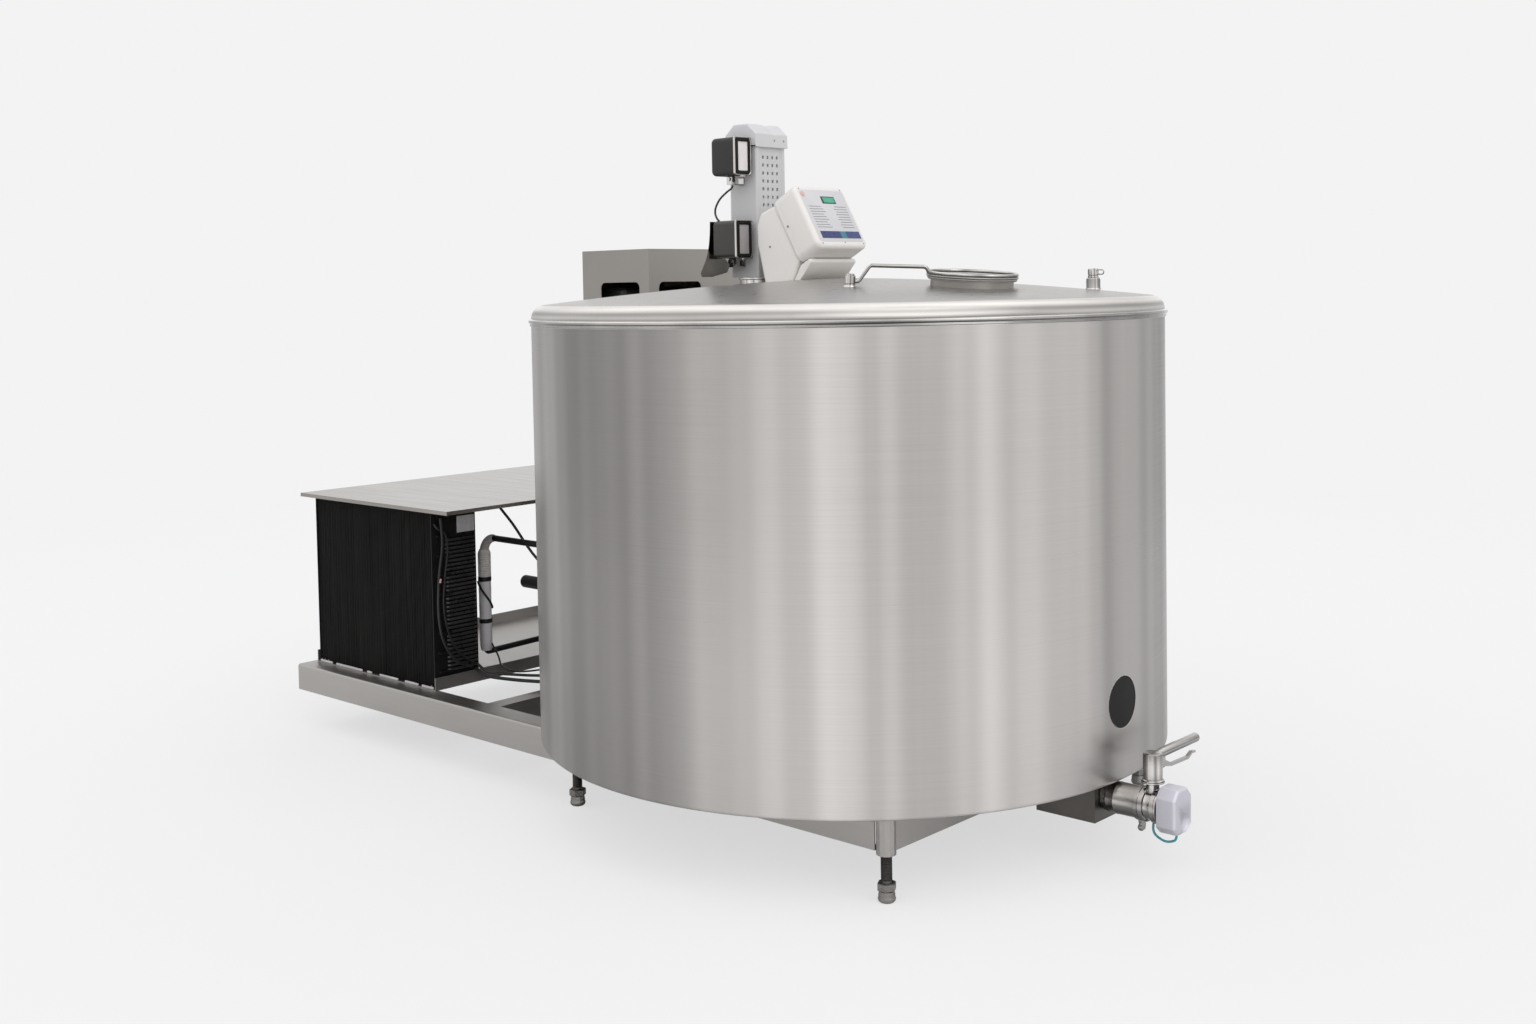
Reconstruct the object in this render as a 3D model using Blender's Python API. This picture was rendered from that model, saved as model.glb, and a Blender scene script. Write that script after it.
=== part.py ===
"""Bulk milk cooler: an upright insulated tank on a folded steel frame, with an air cooled
condensing unit at its back and a butterfly outlet valve at its front.

The model is built in the machine's own frame, with the tank's axis at X = 0, Y = 0 and the
floor at Z = 0, and hangs from one empty that centres the whole machine over the origin.
+X runs to the outlet valve, -X to the condensing unit, +Z is up. All lengths are metres.
"""
import math

import bmesh
import bpy
from mathutils import Matrix, Vector

# Clearances
GAP = 0.0003
RUNNING_GAP = 0.0006

# Tank
TANK_RADIUS = 0.875
SHELL_WALL = 0.0025
SHELL_TOP = 1.360
SHELL_CORNER = 0.020
FOAM_THICK = 0.0605
VESSEL_WALL = 0.003
VESSEL_LIFT = 0.057
VESSEL_CROWN = 0.022
VESSEL_CORNER = 0.050
EVAPORATOR_MARGIN = 0.172
EVAPORATOR_THICK = 0.005
ROOF_WALL = 0.003
ROOF_SHOULDER = 0.038
ROOF_SKIRT = 0.009
ROOF_RISE = 0.107
ROOF_POWER = 1.6
BAND_HEIGHT = 0.020
BAND_PROUD = 0.008
TANK_SIDES = 40
VESSEL_SIDES = 32

# Frame and feet
FRAME_INSET = 0.277
FRAME_BOTTOM = 0.120
FRAME_HEIGHT = 0.085
FRAME_SHEET = 0.003
FRAME_FOLD = 0.007
RAIL_FLANGE = 0.075
RAIL_LIP = 0.030
RAIL_TAIL = 0.020
END_MEMBER_INSET = 0.090
REAR_MEMBER_INSET = 0.022
MID_MEMBER_FACE = -0.500
MEMBER_FLANGE = 0.060
FRONT_FLANGE = 0.030
CORNER_LEG_INSET = 0.013
REAR_LEG_INSET = 0.028
SOCKET_RADIUS = 0.024
SOCKET_BITE = 0.001
SOCKET_DROP = 0.006
SPINDLE_RADIUS = 0.0135
SPINDLE_TOP = 0.190
PAD_RADIUS = 0.0215
PAD_HEIGHT = 0.034
NUT_FLATS = 0.041
NUT_HEIGHT = 0.020

# Port plug on the front wall
PLUG_RADIUS = 0.065
PLUG_RISE = 0.198
PLUG_DEPTH = 0.016

# Manhole, given by its place on the roof
MANHOLE_INSET = 0.370
MANHOLE_Y = -0.100
NECK_RADIUS = 0.106
NECK_WALL = 0.003
NECK_HEIGHT = 0.018
NECK_LIP = 0.008
GASKET_THICK = 0.005
COVER_RADIUS = 0.118
COVER_EDGE = 0.004
COVER_RISE = 0.010
RING_ROD = 0.0045
ARM_ROD = 0.0050
POST_BACK = 0.199
POST_ASIDE = 0.249
POST_HEIGHT = 0.032
POST_RADIUS = 0.0140
POST_PIN = 0.0060
ARM_RISE = 0.054

# Measuring rod
ROD_INSET = 0.270
ROD_Y = 0.325
ROD_SOCKET_RADIUS = 0.019
ROD_SOCKET_HEIGHT = 0.031
ROD_PLUG_RADIUS = 0.0145
ROD_PLUG_HEIGHT = 0.026
ROD_RADIUS = 0.0045
ROD_CLEAR = 0.038

# Agitator and its drive
DRIVE_X = -0.320
BOSS_RADIUS = 0.060
BOSS_RISE = 0.008
SHAFT_RADIUS = 0.0095
SHAFT_CLEAR = 0.098
PADDLE_REACH = 0.240
PADDLE_HEIGHT = 0.110
PADDLE_SHEET = 0.004
PADDLE_HUB = 0.018
PADDLE_SWEEP = 0.030
PADDLE_SET = 0.004
GEAR_RADIUS = 0.043
GEAR_HEIGHT = 0.085
MOTOR_RADIUS = 0.038
MOTOR_HEIGHT = 0.190
COLUMN_DEPTH = 0.098
COLUMN_BACK = 0.016
COLUMN_WIDTH = 0.126
COLUMN_WALL = 0.0035
COLUMN_CORNER = 0.016
COLUMN_HEIGHT = 0.376
VENT_SIZE = 0.0085
VENT_COLUMNS = 4
VENT_ROWS = 7
VENT_PITCH_Y = 0.020
VENT_PITCH_Z = 0.023
VENT_DROP = 0.028
CAP_HEIGHT = 0.069
CAP_OVERHANG = 0.006
CAP_SLOPE_IN = 0.036
CAP_SLOPE_DOWN = 0.031
CAP_ROUND = 0.004

# Work lamps beside the column
LAMP_WIDTH = 0.070
LAMP_DEPTH = 0.100
LAMP_HEIGHT = 0.110
LAMP_SIDE_GAP = 0.010
LAMP_RIM = 0.012
LAMP_FORWARD = -0.009
UPPER_LAMP_DROP = 0.028
LOWER_LAMP_RISE = 0.110
LAMP_WINDOW_Y = 0.046
LAMP_WINDOW_Z = 0.088
GLASS_THICK = 0.003
LUG_WIDTH = 0.010
LUG_DROP = 0.018
EAR_THICK = 0.003
PIN_RADIUS = 0.003

# Control box, set on a moulded pedestal and leaning back
BOX_TILT = math.radians(29.0)
BOX_WIDTH = 0.220
BOX_HEIGHT = 0.204
BOX_DEPTH = 0.092
BOX_ROUND = 0.020
PANEL_FORWARD = 0.275
PANEL_RISE = 0.176
PEDESTAL_WIDTH = 0.204
PEDESTAL_CLEAR = 0.030
DISPLAY_WIDTH = 0.060
DISPLAY_HEIGHT = 0.024
DISPLAY_UP = 0.053
DISPLAY_SIDE = 0.017
BUTTON_RADIUS = 0.0085
BUTTON_TRAVEL = 0.0020
BUTTON_SIDE = -0.084
BUTTON_UP = 0.0715

# Outlet and valve, on a level axis in front of the tank
OUTLET_DROP = 0.045
DRAIN_INSET = 0.097
PIPE_RADIUS = 0.032
PIPE_SIDES = 14
PIPE_WALL = 0.0025
SUMP_BEHIND = 0.060
SUMP_AHEAD = 0.111
SUMP_HALF_WIDTH = 0.055
SUMP_DEPTH = 0.060
SUMP_SHEET = 0.002
FERRULE_RADIUS = 0.0395
FERRULE_OUT = 0.059
VALVE_LENGTH = 0.044
VALVE_SIDES = 18
VALVE_RADIUS = 0.043
VALVE_WAIST = 0.037
BORE_RADIUS = 0.0250
DISC_THICK = 0.004
STEM_RADIUS = 0.006
NECK_OF_VALVE = 0.016
VALVE_NECK_RISE = 0.053
INDEX_RADIUS = 0.027
INDEX_THICK = 0.003
HUB_RADIUS = 0.0225
HUB_HEIGHT = 0.078
GRIP_RADIUS = 0.0120
GRIP_START = 0.040
GRIP_END = 0.222
GRIP_DROP = 0.010
TRIGGER_THICK = 0.009
TRIGGER_PIVOT_Y = 0.040
TRIGGER_DROP = 0.0255
TRIGGER_REACH = 0.212
STUB_RADIUS = 0.0300
STUB_LENGTH = 0.034
CAP_SET = 0.0067
CAP_LENGTH = 0.055
CAP_RADIUS = 0.060
CAP_SIDES = 8
CAP_POCKET = 0.030
CORD_DIAMETER = 0.006

# Condensing unit
UNIT_CLEAR = 0.006
PAN_LENGTH = 0.664
PAN_INSET_LEFT = 0.063
PAN_INSET_RIGHT = 0.053
PAN_SHEET = 0.003
PAN_EDGE = 0.040
CONDENSER_SIDE_INSET = 0.005
CONDENSER_DEPTH = 0.170
CONDENSER_END_INSET = 0.008
FIN_PITCH = 0.0145
FIN_THICK = 0.0035
FIN_DEPTH = 0.075
FIN_CORE = 0.010
END_PLATE = 0.003
BEND_COUNT = 9
BEND_RADIUS = 0.0048
BEND_REACH = 0.005
SHROUD_SHEET = 0.002
FAN_RADIUS = 0.200
FAN_TIP_GAP = 0.008
FAN_HUB = 0.040
FAN_BLADES = 5
FAN_SHEET = 0.002
FAN_PITCH = math.radians(26.0)
FAN_MOTOR_RADIUS = 0.042
FAN_MOTOR_LENGTH = 0.085
FAN_BAR = 0.018
LID_CLEAR = 0.003
LID_LENGTH = 0.702
LID_LEDGE = 0.113
LID_SIDE_INSET = 0.038
UNIT_HEIGHT = 0.575
LID_SHEET = 0.002
LID_EDGE = 0.012
LID_POST = 0.030
COMPRESSOR_INSET = 0.149
COMPRESSOR_ASIDE = 0.295
COMPRESSOR_RADIUS = 0.105
COMPRESSOR_HEIGHT = 0.330
COMPRESSOR_WALL = 0.006
SUCTION_INSET = 0.109
SUCTION_ASIDE = 0.110
SUCTION_RADIUS = 0.021
SUCTION_DROP = 0.135
SUCTION_RISE = 0.070
CABLE_DIAMETER = 0.009
SENSOR_Y = 0.060
DRIER_RADIUS = 0.021
DRIER_ASIDE = 0.260
DRIER_DROP = 0.301
DRIER_AHEAD = 0.046
DRIER_LENGTH = 0.145
LIQUID_RADIUS = 0.006

# Wash cabinet between the tank and the condensing unit
CABINET_GAP = 0.033
CABINET_DEPTH = 0.322
CABINET_LEFT = 0.105
CABINET_INSET = 0.003
CABINET_RISE = 0.217
CABINET_SHEET = 0.002
WINDOW_DROP = 0.107
FRONT_WINDOW_WIDTH = 0.195
WINDOW_HEIGHT = 0.230
WINDOW_EDGE = 0.045
WINDOW_ROUND = 0.018
PUMP_BOARD = 0.006
PUMP_BOARD_INSET = 0.030
PUMP_BOARD_WIDTH = 0.340
PUMP_BOARD_HEIGHT = 0.205
PUMP_INSET = 0.020
PUMP_PITCH = 0.170
PUMP_WIDTH = 0.130
PUMP_DEPTH = 0.150
PUMP_HEIGHT = 0.175
PUMP_DROP = 0.015
PUMP_ROUND = 0.022

# Values worked out from the ones above
FRAME_TOP = FRAME_BOTTOM + FRAME_HEIGHT
FRAME_HALF_WIDTH = TANK_RADIUS - FRAME_INSET
CORNER_LEG = FRAME_HALF_WIDTH - CORNER_LEG_INSET
REAR_LEG_X = MID_MEMBER_FACE - REAR_LEG_INSET
VESSEL_RADIUS = TANK_RADIUS - SHELL_WALL - FOAM_THICK
VESSEL_FLOOR = FRAME_TOP + VESSEL_LIFT
EVAPORATOR_RADIUS = VESSEL_RADIUS - EVAPORATOR_MARGIN
ROOF_PEAK = SHELL_TOP + ROOF_RISE
PLUG_HEIGHT = FRAME_TOP + PLUG_RISE
MANHOLE_X = TANK_RADIUS - MANHOLE_INSET
POST_X = MANHOLE_X - POST_BACK
POST_Y = MANHOLE_Y - POST_ASIDE
ROD_X = TANK_RADIUS - ROD_INSET
ROD_END = VESSEL_FLOOR + ROD_CLEAR
BOSS_TOP = ROOF_PEAK + BOSS_RISE
SHAFT_END = VESSEL_FLOOR + SHAFT_CLEAR
COLUMN_TOP = BOSS_TOP + COLUMN_HEIGHT
VENT_TOP = COLUMN_TOP - VENT_DROP
UPPER_LAMP_Z = COLUMN_TOP - UPPER_LAMP_DROP
LOWER_LAMP_Z = BOSS_TOP + LOWER_LAMP_RISE
PANEL_X = DRIVE_X + PANEL_FORWARD
PANEL_Z = ROOF_PEAK + PANEL_RISE
PLUG_BACK = TANK_RADIUS - SHELL_WALL - PLUG_DEPTH
TANK_BOTTOM = FRAME_TOP + GAP
SHOULDER_END = math.radians(83.0)
SKIRT_TOP = SHELL_TOP + GAP + ROOF_SKIRT
DOME_RADIUS = TANK_RADIUS - ROOF_SHOULDER * (1.0 - math.cos(SHOULDER_END))
DOME_EDGE = SKIRT_TOP + ROOF_SHOULDER * math.sin(SHOULDER_END)
RAIL_FRONT = CORNER_LEG - SOCKET_RADIUS - GAP
OUTLET_Z = FRAME_TOP - OUTLET_DROP
DRAIN_X = VESSEL_RADIUS - DRAIN_INSET
SUMP_BACK = DRAIN_X - SUMP_BEHIND
SUMP_FRONT = DRAIN_X + SUMP_AHEAD
SUMP_BOTTOM = OUTLET_Z - SUMP_DEPTH
FERRULE_END = TANK_RADIUS + FERRULE_OUT
PIPE_HOLE = (PIPE_RADIUS + GAP) / math.cos(math.pi / PIPE_SIDES)
REAR_LEG_Y = FRAME_HALF_WIDTH - FRAME_SHEET - SOCKET_RADIUS + SOCKET_BITE
VALVE_START = FERRULE_END + GAP
VALVE_END = VALVE_START + VALVE_LENGTH
VALVE_X = VALVE_START + VALVE_LENGTH / 2
CAP_START = VALVE_END + CAP_SET
CAP_END = CAP_START + CAP_LENGTH
VALVE_NECK_TOP = OUTLET_Z + VALVE_NECK_RISE
HUB_TOP = VALVE_NECK_TOP + HUB_HEIGHT
GRIP_Z = HUB_TOP - GRIP_DROP
TRIGGER_PIVOT_Z = GRIP_Z - TRIGGER_DROP
CABINET_FRONT = -TANK_RADIUS - CABINET_GAP
CABINET_BACK = CABINET_FRONT - CABINET_DEPTH
CABINET_RIGHT = FRAME_HALF_WIDTH - CABINET_INSET
CABINET_TOP = SHELL_TOP + CABINET_RISE
WINDOW_TOP = CABINET_TOP - WINDOW_DROP
PAN_FRONT = CABINET_BACK - UNIT_CLEAR
PAN_BACK = PAN_FRONT - PAN_LENGTH
PAN_LEFT = PAN_INSET_LEFT - FRAME_HALF_WIDTH
PAN_RIGHT = FRAME_HALF_WIDTH - PAN_INSET_RIGHT
PAN_TOP = FRAME_TOP + GAP + PAN_SHEET
RAIL_BACK = PAN_BACK - RAIL_TAIL
END_MEMBER_FACE = RAIL_BACK + END_MEMBER_INSET
REAR_MEMBER_FACE = CABINET_FRONT - REAR_MEMBER_INSET
LID_FRONT = CABINET_BACK - LID_CLEAR
LID_BACK = LID_FRONT - LID_LENGTH
LID_HALF_WIDTH = FRAME_HALF_WIDTH - LID_SIDE_INSET
LID_TOP = FRAME_TOP + UNIT_HEIGHT
LID_UNDER = LID_TOP - LID_SHEET
CONDENSER_TOP = LID_UNDER - GAP
CONDENSER_BOTTOM = PAN_TOP + GAP
CONDENSER_BACK = PAN_BACK + CONDENSER_END_INSET
CONDENSER_FRONT = PAN_FRONT - CONDENSER_END_INSET
CONDENSER_LEFT = PAN_LEFT + CONDENSER_SIDE_INSET
CONDENSER_RIGHT = CONDENSER_LEFT + CONDENSER_DEPTH
COMPRESSOR_X = PAN_FRONT - COMPRESSOR_INSET
COMPRESSOR_Y = PAN_RIGHT - COMPRESSOR_ASIDE
SUCTION_X = PAN_FRONT - SUCTION_INSET
SUCTION_Y = CONDENSER_RIGHT + SUCTION_ASIDE
SUCTION_HIGH = LID_TOP - SUCTION_DROP
SUCTION_LOW = FRAME_TOP + SUCTION_RISE
DRIER_Y = CONDENSER_RIGHT + DRIER_ASIDE
DRIER_Z = LID_TOP - DRIER_DROP
DRIER_END = PAN_FRONT + DRIER_AHEAD
DRIER_START = DRIER_END - DRIER_LENGTH
LAMP_Y = -COLUMN_WIDTH / 2 - LAMP_SIDE_GAP - LAMP_WIDTH / 2
COLUMN_FRONT = DRIVE_X + COLUMN_DEPTH / 2
LAMP_FRONT_X = COLUMN_FRONT + LAMP_FORWARD

# The machine's reach, which centres it over the origin
REACH_BACK = min(LID_BACK, RAIL_BACK)
REACH_FRONT = CAP_END
SHIFT_X = -(REACH_BACK + REACH_FRONT) / 2


for old in list(bpy.data.objects):
    bpy.data.objects.remove(old, do_unlink=True)


def finish_of(name, colour, roughness, metallic):
    """A plain material with the part's colour."""
    made = bpy.data.materials.new(name)
    made.use_nodes = True
    shader = made.node_tree.nodes["Principled BSDF"]
    shader.inputs["Base Color"].default_value = (*colour, 1.0)
    shader.inputs["Roughness"].default_value = roughness
    shader.inputs["Metallic"].default_value = metallic
    return made


BRUSHED = finish_of("brushed_steel", (0.56, 0.55, 0.53), 0.34, 1.0)
POLISHED = finish_of("polished_steel", (0.62, 0.60, 0.58), 0.18, 1.0)
DARK_STEEL = finish_of("dark_spindle_steel", (0.17, 0.17, 0.17), 0.35, 1.0)
BLACK_PAINT = finish_of("black_paint", (0.020, 0.020, 0.021), 0.55, 0.0)
RUBBER = finish_of("black_rubber", (0.025, 0.025, 0.025), 0.75, 0.0)
FOAM = finish_of("insulation_foam", (0.72, 0.62, 0.38), 0.90, 0.0)
WHITE_PLASTIC = finish_of("white_plastic", (0.80, 0.79, 0.77), 0.42, 0.0)
GREY_PLASTIC = finish_of("grey_plastic", (0.60, 0.60, 0.62), 0.40, 0.0)
LAMP_BLACK = finish_of("lamp_black", (0.045, 0.045, 0.045), 0.45, 0.0)
LAMP_GLASS = finish_of("lamp_glass", (0.80, 0.78, 0.78), 0.15, 0.0)
DISPLAY_GREEN = finish_of("display_green", (0.03, 0.35, 0.22), 0.20, 0.0)
BUTTON_PINK = finish_of("button_pink", (0.80, 0.55, 0.53), 0.40, 0.0)
CAP_GREY = finish_of("cap_grey", (0.55, 0.54, 0.60), 0.38, 0.0)
CORD_TEAL = finish_of("cord_teal", (0.05, 0.32, 0.36), 0.45, 0.0)
WRAP_WHITE = finish_of("wrap_white", (0.70, 0.70, 0.68), 0.60, 0.0)
CABLE_BLACK = finish_of("cable_black", (0.015, 0.015, 0.016), 0.45, 0.0)

MACHINE = bpy.data.objects.new("machine_frame", None)
MACHINE.location = (SHIFT_X, 0.0, 0.0)
bpy.context.scene.collection.objects.link(MACHINE)


def placed(name, made, parent, location, turn=None):
    """Link an object under its parent."""
    bpy.context.scene.collection.objects.link(made)
    made.parent = parent or MACHINE
    made.location = location
    if turn is not None:
        made.rotation_euler = turn
    made.name = name
    return made


def finished(name, shape, look, pivot=(0, 0, 0), parent=None, turn=None, sharp=32.0):
    """Turn a bmesh into an object whose origin is at the pivot, with its faces pointing out."""
    bmesh.ops.recalc_face_normals(shape, faces=shape.faces)
    bmesh.ops.translate(shape, vec=-Vector(pivot), verts=shape.verts)
    mesh = bpy.data.meshes.new(name)
    shape.to_mesh(mesh)
    shape.free()
    mesh.shade_smooth()
    mesh.set_sharp_from_angle(angle=math.radians(sharp))
    mesh.materials.append(look)
    return placed(name, bpy.data.objects.new(name, mesh), parent, pivot, turn)


def cut(target, name, shape, parent=None, location=(0, 0, 0), turn=None, operation="DIFFERENCE"):
    """Cut a shape out of an object with a live Boolean, and keep the cutter as a hidden guide."""
    cutter = finished(name, shape, RUBBER, parent=parent, turn=turn)
    cutter.location = location
    cutter.hide_render = True
    cutter.display_type = "WIRE"
    step = target.modifiers.new(name, "BOOLEAN")
    step.operation = operation
    step.object = cutter
    return cutter


def box(shape, low, high):
    """A box between two corners."""
    low, high = Vector(low), Vector(high)
    size = high - low
    place = Matrix.Translation((low + high) / 2) @ Matrix.Diagonal((*size, 1.0))
    return bmesh.ops.create_cube(shape, size=1.0, matrix=place)["verts"]


def soft_box(shape, low, high, radius, segments=3, keep=None):
    """A box with rounded edges. keep names a side, such as '-Z', whose edges stay square."""
    verts = box(shape, low, high)
    edges = set()
    for vert in verts:
        edges.update(vert.link_edges)
    if keep is not None:
        axis = "XYZ".index(keep[1])
        level = low[axis] if keep[0] == "-" else high[axis]
        edges = {e for e in edges if any(abs(v.co[axis] - level) > 1e-6 for v in e.verts)}
    bmesh.ops.bevel(shape, geom=list(edges), offset=radius, segments=segments, profile=0.5,
                    affect="EDGES", clamp_overlap=True)


def outline_point(axis, along, a, b):
    """A point of a flat outline, set at a distance along the axis that it is drawn across."""
    return {"X": (along, a, b), "Y": (a, along, b), "Z": (a, b, along)}[axis]


def prism(shape, outline, axis, start, end):
    """A flat outline pushed along an axis."""
    verts = [shape.verts.new(outline_point(axis, start, a, b)) for a, b in outline]
    face = shape.faces.new(verts)
    pushed = bmesh.ops.extrude_face_region(shape, geom=[face])["geom"]
    moved = [v for v in pushed if isinstance(v, bmesh.types.BMVert)]
    bmesh.ops.translate(shape, vec=Vector(outline_point(axis, end - start, 0.0, 0.0)), verts=moved)


def rounded(points, radius, steps=3):
    """A closed flat outline with each corner turned into an arc of the radius."""
    result = []
    count = len(points)
    for index in range(count):
        corner = Vector(points[index])
        before = Vector(points[index - 1]) - corner
        after = Vector(points[(index + 1) % count]) - corner
        half = before.angle(after) / 2
        reach = min(radius / math.tan(half), before.length / 2.02, after.length / 2.02)
        real = reach * math.tan(half)
        middle = corner + (before.normalized() + after.normalized()).normalized() * (real / math.sin(half))
        start = corner + before.normalized() * reach - middle
        end = corner + after.normalized() * reach - middle
        for step in range(steps + 1):
            share = step / steps
            leg = start.lerp(end, share).normalized() * real
            result.append(tuple(middle + leg))
    return result


def rectangle(low_a, low_b, high_a, high_b):
    """The four corners of a flat rectangle."""
    return [(low_a, low_b), (high_a, low_b), (high_a, high_b), (low_a, high_b)]


def turned(shape, profile, sides, centre=(0, 0, 0), axis="Z", phase=0.0):
    """A profile of (radius, height) points turned round an axis through the centre.

    A profile that starts and ends on the axis closes there, and any other closes on itself.
    The phase turns the flats, as a share of one side.
    """
    on_axis = profile[0][0] < 1e-9 and profile[-1][0] < 1e-9
    turn = {"Z": Matrix.Identity(4), "X": Matrix.Rotation(math.radians(90), 4, "Y"),
            "Y": Matrix.Rotation(math.radians(-90), 4, "X")}[axis]
    before = set(shape.verts)
    verts = [shape.verts.new((radius, 0.0, height)) for radius, height in profile]
    edges = [shape.edges.new(pair) for pair in zip(verts, verts[1:])]
    if not on_axis:
        edges.append(shape.edges.new((verts[-1], verts[0])))
    bmesh.ops.spin(shape, geom=verts + edges, cent=(0, 0, 0), axis=(0, 0, 1), dvec=(0, 0, 0),
                   angle=math.tau, steps=sides, use_merge=True, use_normal_flip=False,
                   use_duplicate=False)
    made = [v for v in shape.verts if v not in before]
    bmesh.ops.remove_doubles(shape, verts=made, dist=1e-6)
    made = [v for v in shape.verts if v not in before]
    start = Matrix.Rotation(math.tau * phase / sides, 4, "Z")
    bmesh.ops.transform(shape, matrix=Matrix.Translation(Vector(centre)) @ turn @ start, verts=made)


def disc(radius, start, end):
    """The profile of a plain solid cylinder."""
    return [(0.0, start), (radius, start), (radius, end), (0.0, end)]


def collar(inner, outer, start, end):
    """The profile of a plain ring."""
    return [(inner, start), (outer, start), (outer, end), (inner, end)]


def sweep(shape, path, radius, sides=10):
    """A round rod along a path, closed at both ends."""
    path = [Vector(point) for point in path]
    tangents = []
    for index in range(len(path)):
        ahead = path[min(index + 1, len(path) - 1)] - path[max(index - 1, 0)]
        tangents.append(ahead.normalized())
    across = tangents[0].orthogonal().normalized()
    rings = []
    for point, tangent in zip(path, tangents):
        across = (across - tangent * across.dot(tangent)).normalized()
        other = tangent.cross(across)
        ring = []
        for side in range(sides):
            angle = math.tau * side / sides
            ring.append(shape.verts.new(point + (across * math.cos(angle) + other * math.sin(angle)) * radius))
        rings.append(ring)
    for one, two in zip(rings, rings[1:]):
        for side in range(sides):
            nxt = (side + 1) % sides
            shape.faces.new((one[side], one[nxt], two[nxt], two[side]))
    shape.faces.new(rings[0])
    shape.faces.new(rings[-1])


def bent(points, radius, steps=4):
    """A path with each inner corner turned into an arc of the radius."""
    points = [Vector(point) for point in points]
    path = [points[0]]
    for before, corner, after in zip(points, points[1:], points[2:]):
        one, two = (before - corner), (after - corner)
        half = one.angle(two) / 2
        reach = min(radius / math.tan(half), one.length / 2.02, two.length / 2.02)
        real = reach * math.tan(half)
        middle = corner + (one.normalized() + two.normalized()).normalized() * (real / math.sin(half))
        start = corner + one.normalized() * reach - middle
        end = corner + two.normalized() * reach - middle
        for step in range(steps + 1):
            path.append(middle + start.lerp(end, step / steps).normalized() * real)
    path.append(points[-1])
    return path


def smooth_route(points, pieces=4):
    """Points of a smooth curve that passes through a route's own points."""
    points = [Vector(point) for point in points]
    ends = [points[0] * 2 - points[1]] + points + [points[-1] * 2 - points[-2]]
    route = []
    for a, b, c, d in zip(ends, ends[1:], ends[2:], ends[3:]):
        for step in range(pieces):
            t = step / pieces
            route.append(0.5 * ((b * 2) + (c - a) * t + (a * 2 - b * 5 + c * 4 - d) * t * t
                                + (b * 3 - a - c * 3 + d) * t * t * t))
    route.append(points[-1])
    return route


def cord(name, points, diameter, look, pieces=3):
    """A round cord along a smooth route, as a curve with a bevel."""
    curve = bpy.data.curves.new(name, "CURVE")
    curve.dimensions = "3D"
    curve.bevel_depth = diameter / 2
    curve.bevel_resolution = 2
    curve.use_fill_caps = True
    route = smooth_route(points, pieces)
    spline = curve.splines.new("POLY")
    spline.points.add(len(route) - 1)
    for point, place in zip(spline.points, route):
        point.co = (*place, 1.0)
    curve.materials.append(look)
    return placed(name, bpy.data.objects.new(name, curve), None, (0, 0, 0))


def roof_height(radius):
    """Height of the roof's outer face at a radius inside its shoulder."""
    return ROOF_PEAK - (ROOF_PEAK - DOME_EDGE) * (radius / DOME_RADIUS) ** ROOF_POWER


def roof_slope(radius):
    """Fall of the roof's outer face at a radius, as an angle."""
    fall = (ROOF_PEAK - DOME_EDGE) * ROOF_POWER / DOME_RADIUS * (radius / DOME_RADIUS) ** (ROOF_POWER - 1.0)
    return math.atan(fall)


def arc(centre, radius, start, end, steps):
    """Points of an arc, with its angles in radians from the first axis."""
    return [(centre[0] + radius * math.cos(start + (end - start) * step / steps),
             centre[1] + radius * math.sin(start + (end - start) * step / steps))
            for step in range(steps + 1)]


def make_frame():
    """Two folded channel rails and four folded cross members, with the leg sockets welded in."""
    t = FRAME_SHEET
    fold = arc((FRAME_HALF_WIDTH - FRAME_FOLD, FRAME_TOP - FRAME_FOLD), FRAME_FOLD, 0.0, math.radians(90), 3)
    section = [(FRAME_HALF_WIDTH, FRAME_BOTTOM)] + fold
    section += [(FRAME_HALF_WIDTH - RAIL_FLANGE, FRAME_TOP), (FRAME_HALF_WIDTH - RAIL_FLANGE, FRAME_TOP - t),
                (FRAME_HALF_WIDTH - t, FRAME_TOP - t), (FRAME_HALF_WIDTH - t, FRAME_BOTTOM + t),
                (FRAME_HALF_WIDTH - RAIL_LIP, FRAME_BOTTOM + t), (FRAME_HALF_WIDTH - RAIL_LIP, FRAME_BOTTOM)]
    for side, name in ((-1, "rail_left"), (1, "rail_right")):
        shape = bmesh.new()
        prism(shape, [(side * y, z) for y, z in section], "X", RAIL_BACK, RAIL_FRONT)
        rail = finished(name, shape, BRUSHED)
        leg_socket(rail, name + "_socket", REAR_LEG_X, side * REAR_LEG_Y, FRAME_TOP - t / 2)

    reach = FRAME_HALF_WIDTH - RAIL_FLANGE - GAP
    for name, face in (("cross_member_end", END_MEMBER_FACE), ("cross_member_rear", REAR_MEMBER_FACE),
                       ("cross_member_middle", MID_MEMBER_FACE)):
        shape = bmesh.new()
        channel(shape, face, MEMBER_FLANGE, reach)
        finished(name, shape, BRUSHED)
    shape = bmesh.new()
    channel(shape, FRAME_HALF_WIDTH, FRONT_FLANGE, CORNER_LEG - SOCKET_RADIUS * 0.8)
    front = finished("cross_member_front", shape, BRUSHED)
    for side in (-1, 1):
        leg_socket(front, "front_socket_%d" % side, CORNER_LEG, side * CORNER_LEG, FRAME_TOP)


def channel(shape, face, flange, reach):
    """A channel across the machine, with its web's outer face at X = face and its flanges behind."""
    t = FRAME_SHEET
    low, high = FRAME_BOTTOM, FRAME_TOP
    outline = [(face, low), (face, high), (face - flange, high), (face - flange, high - t),
               (face - t, high - t), (face - t, low + t), (face - flange, low + t), (face - flange, low)]
    prism(shape, outline, "Y", -reach, reach)


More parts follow.
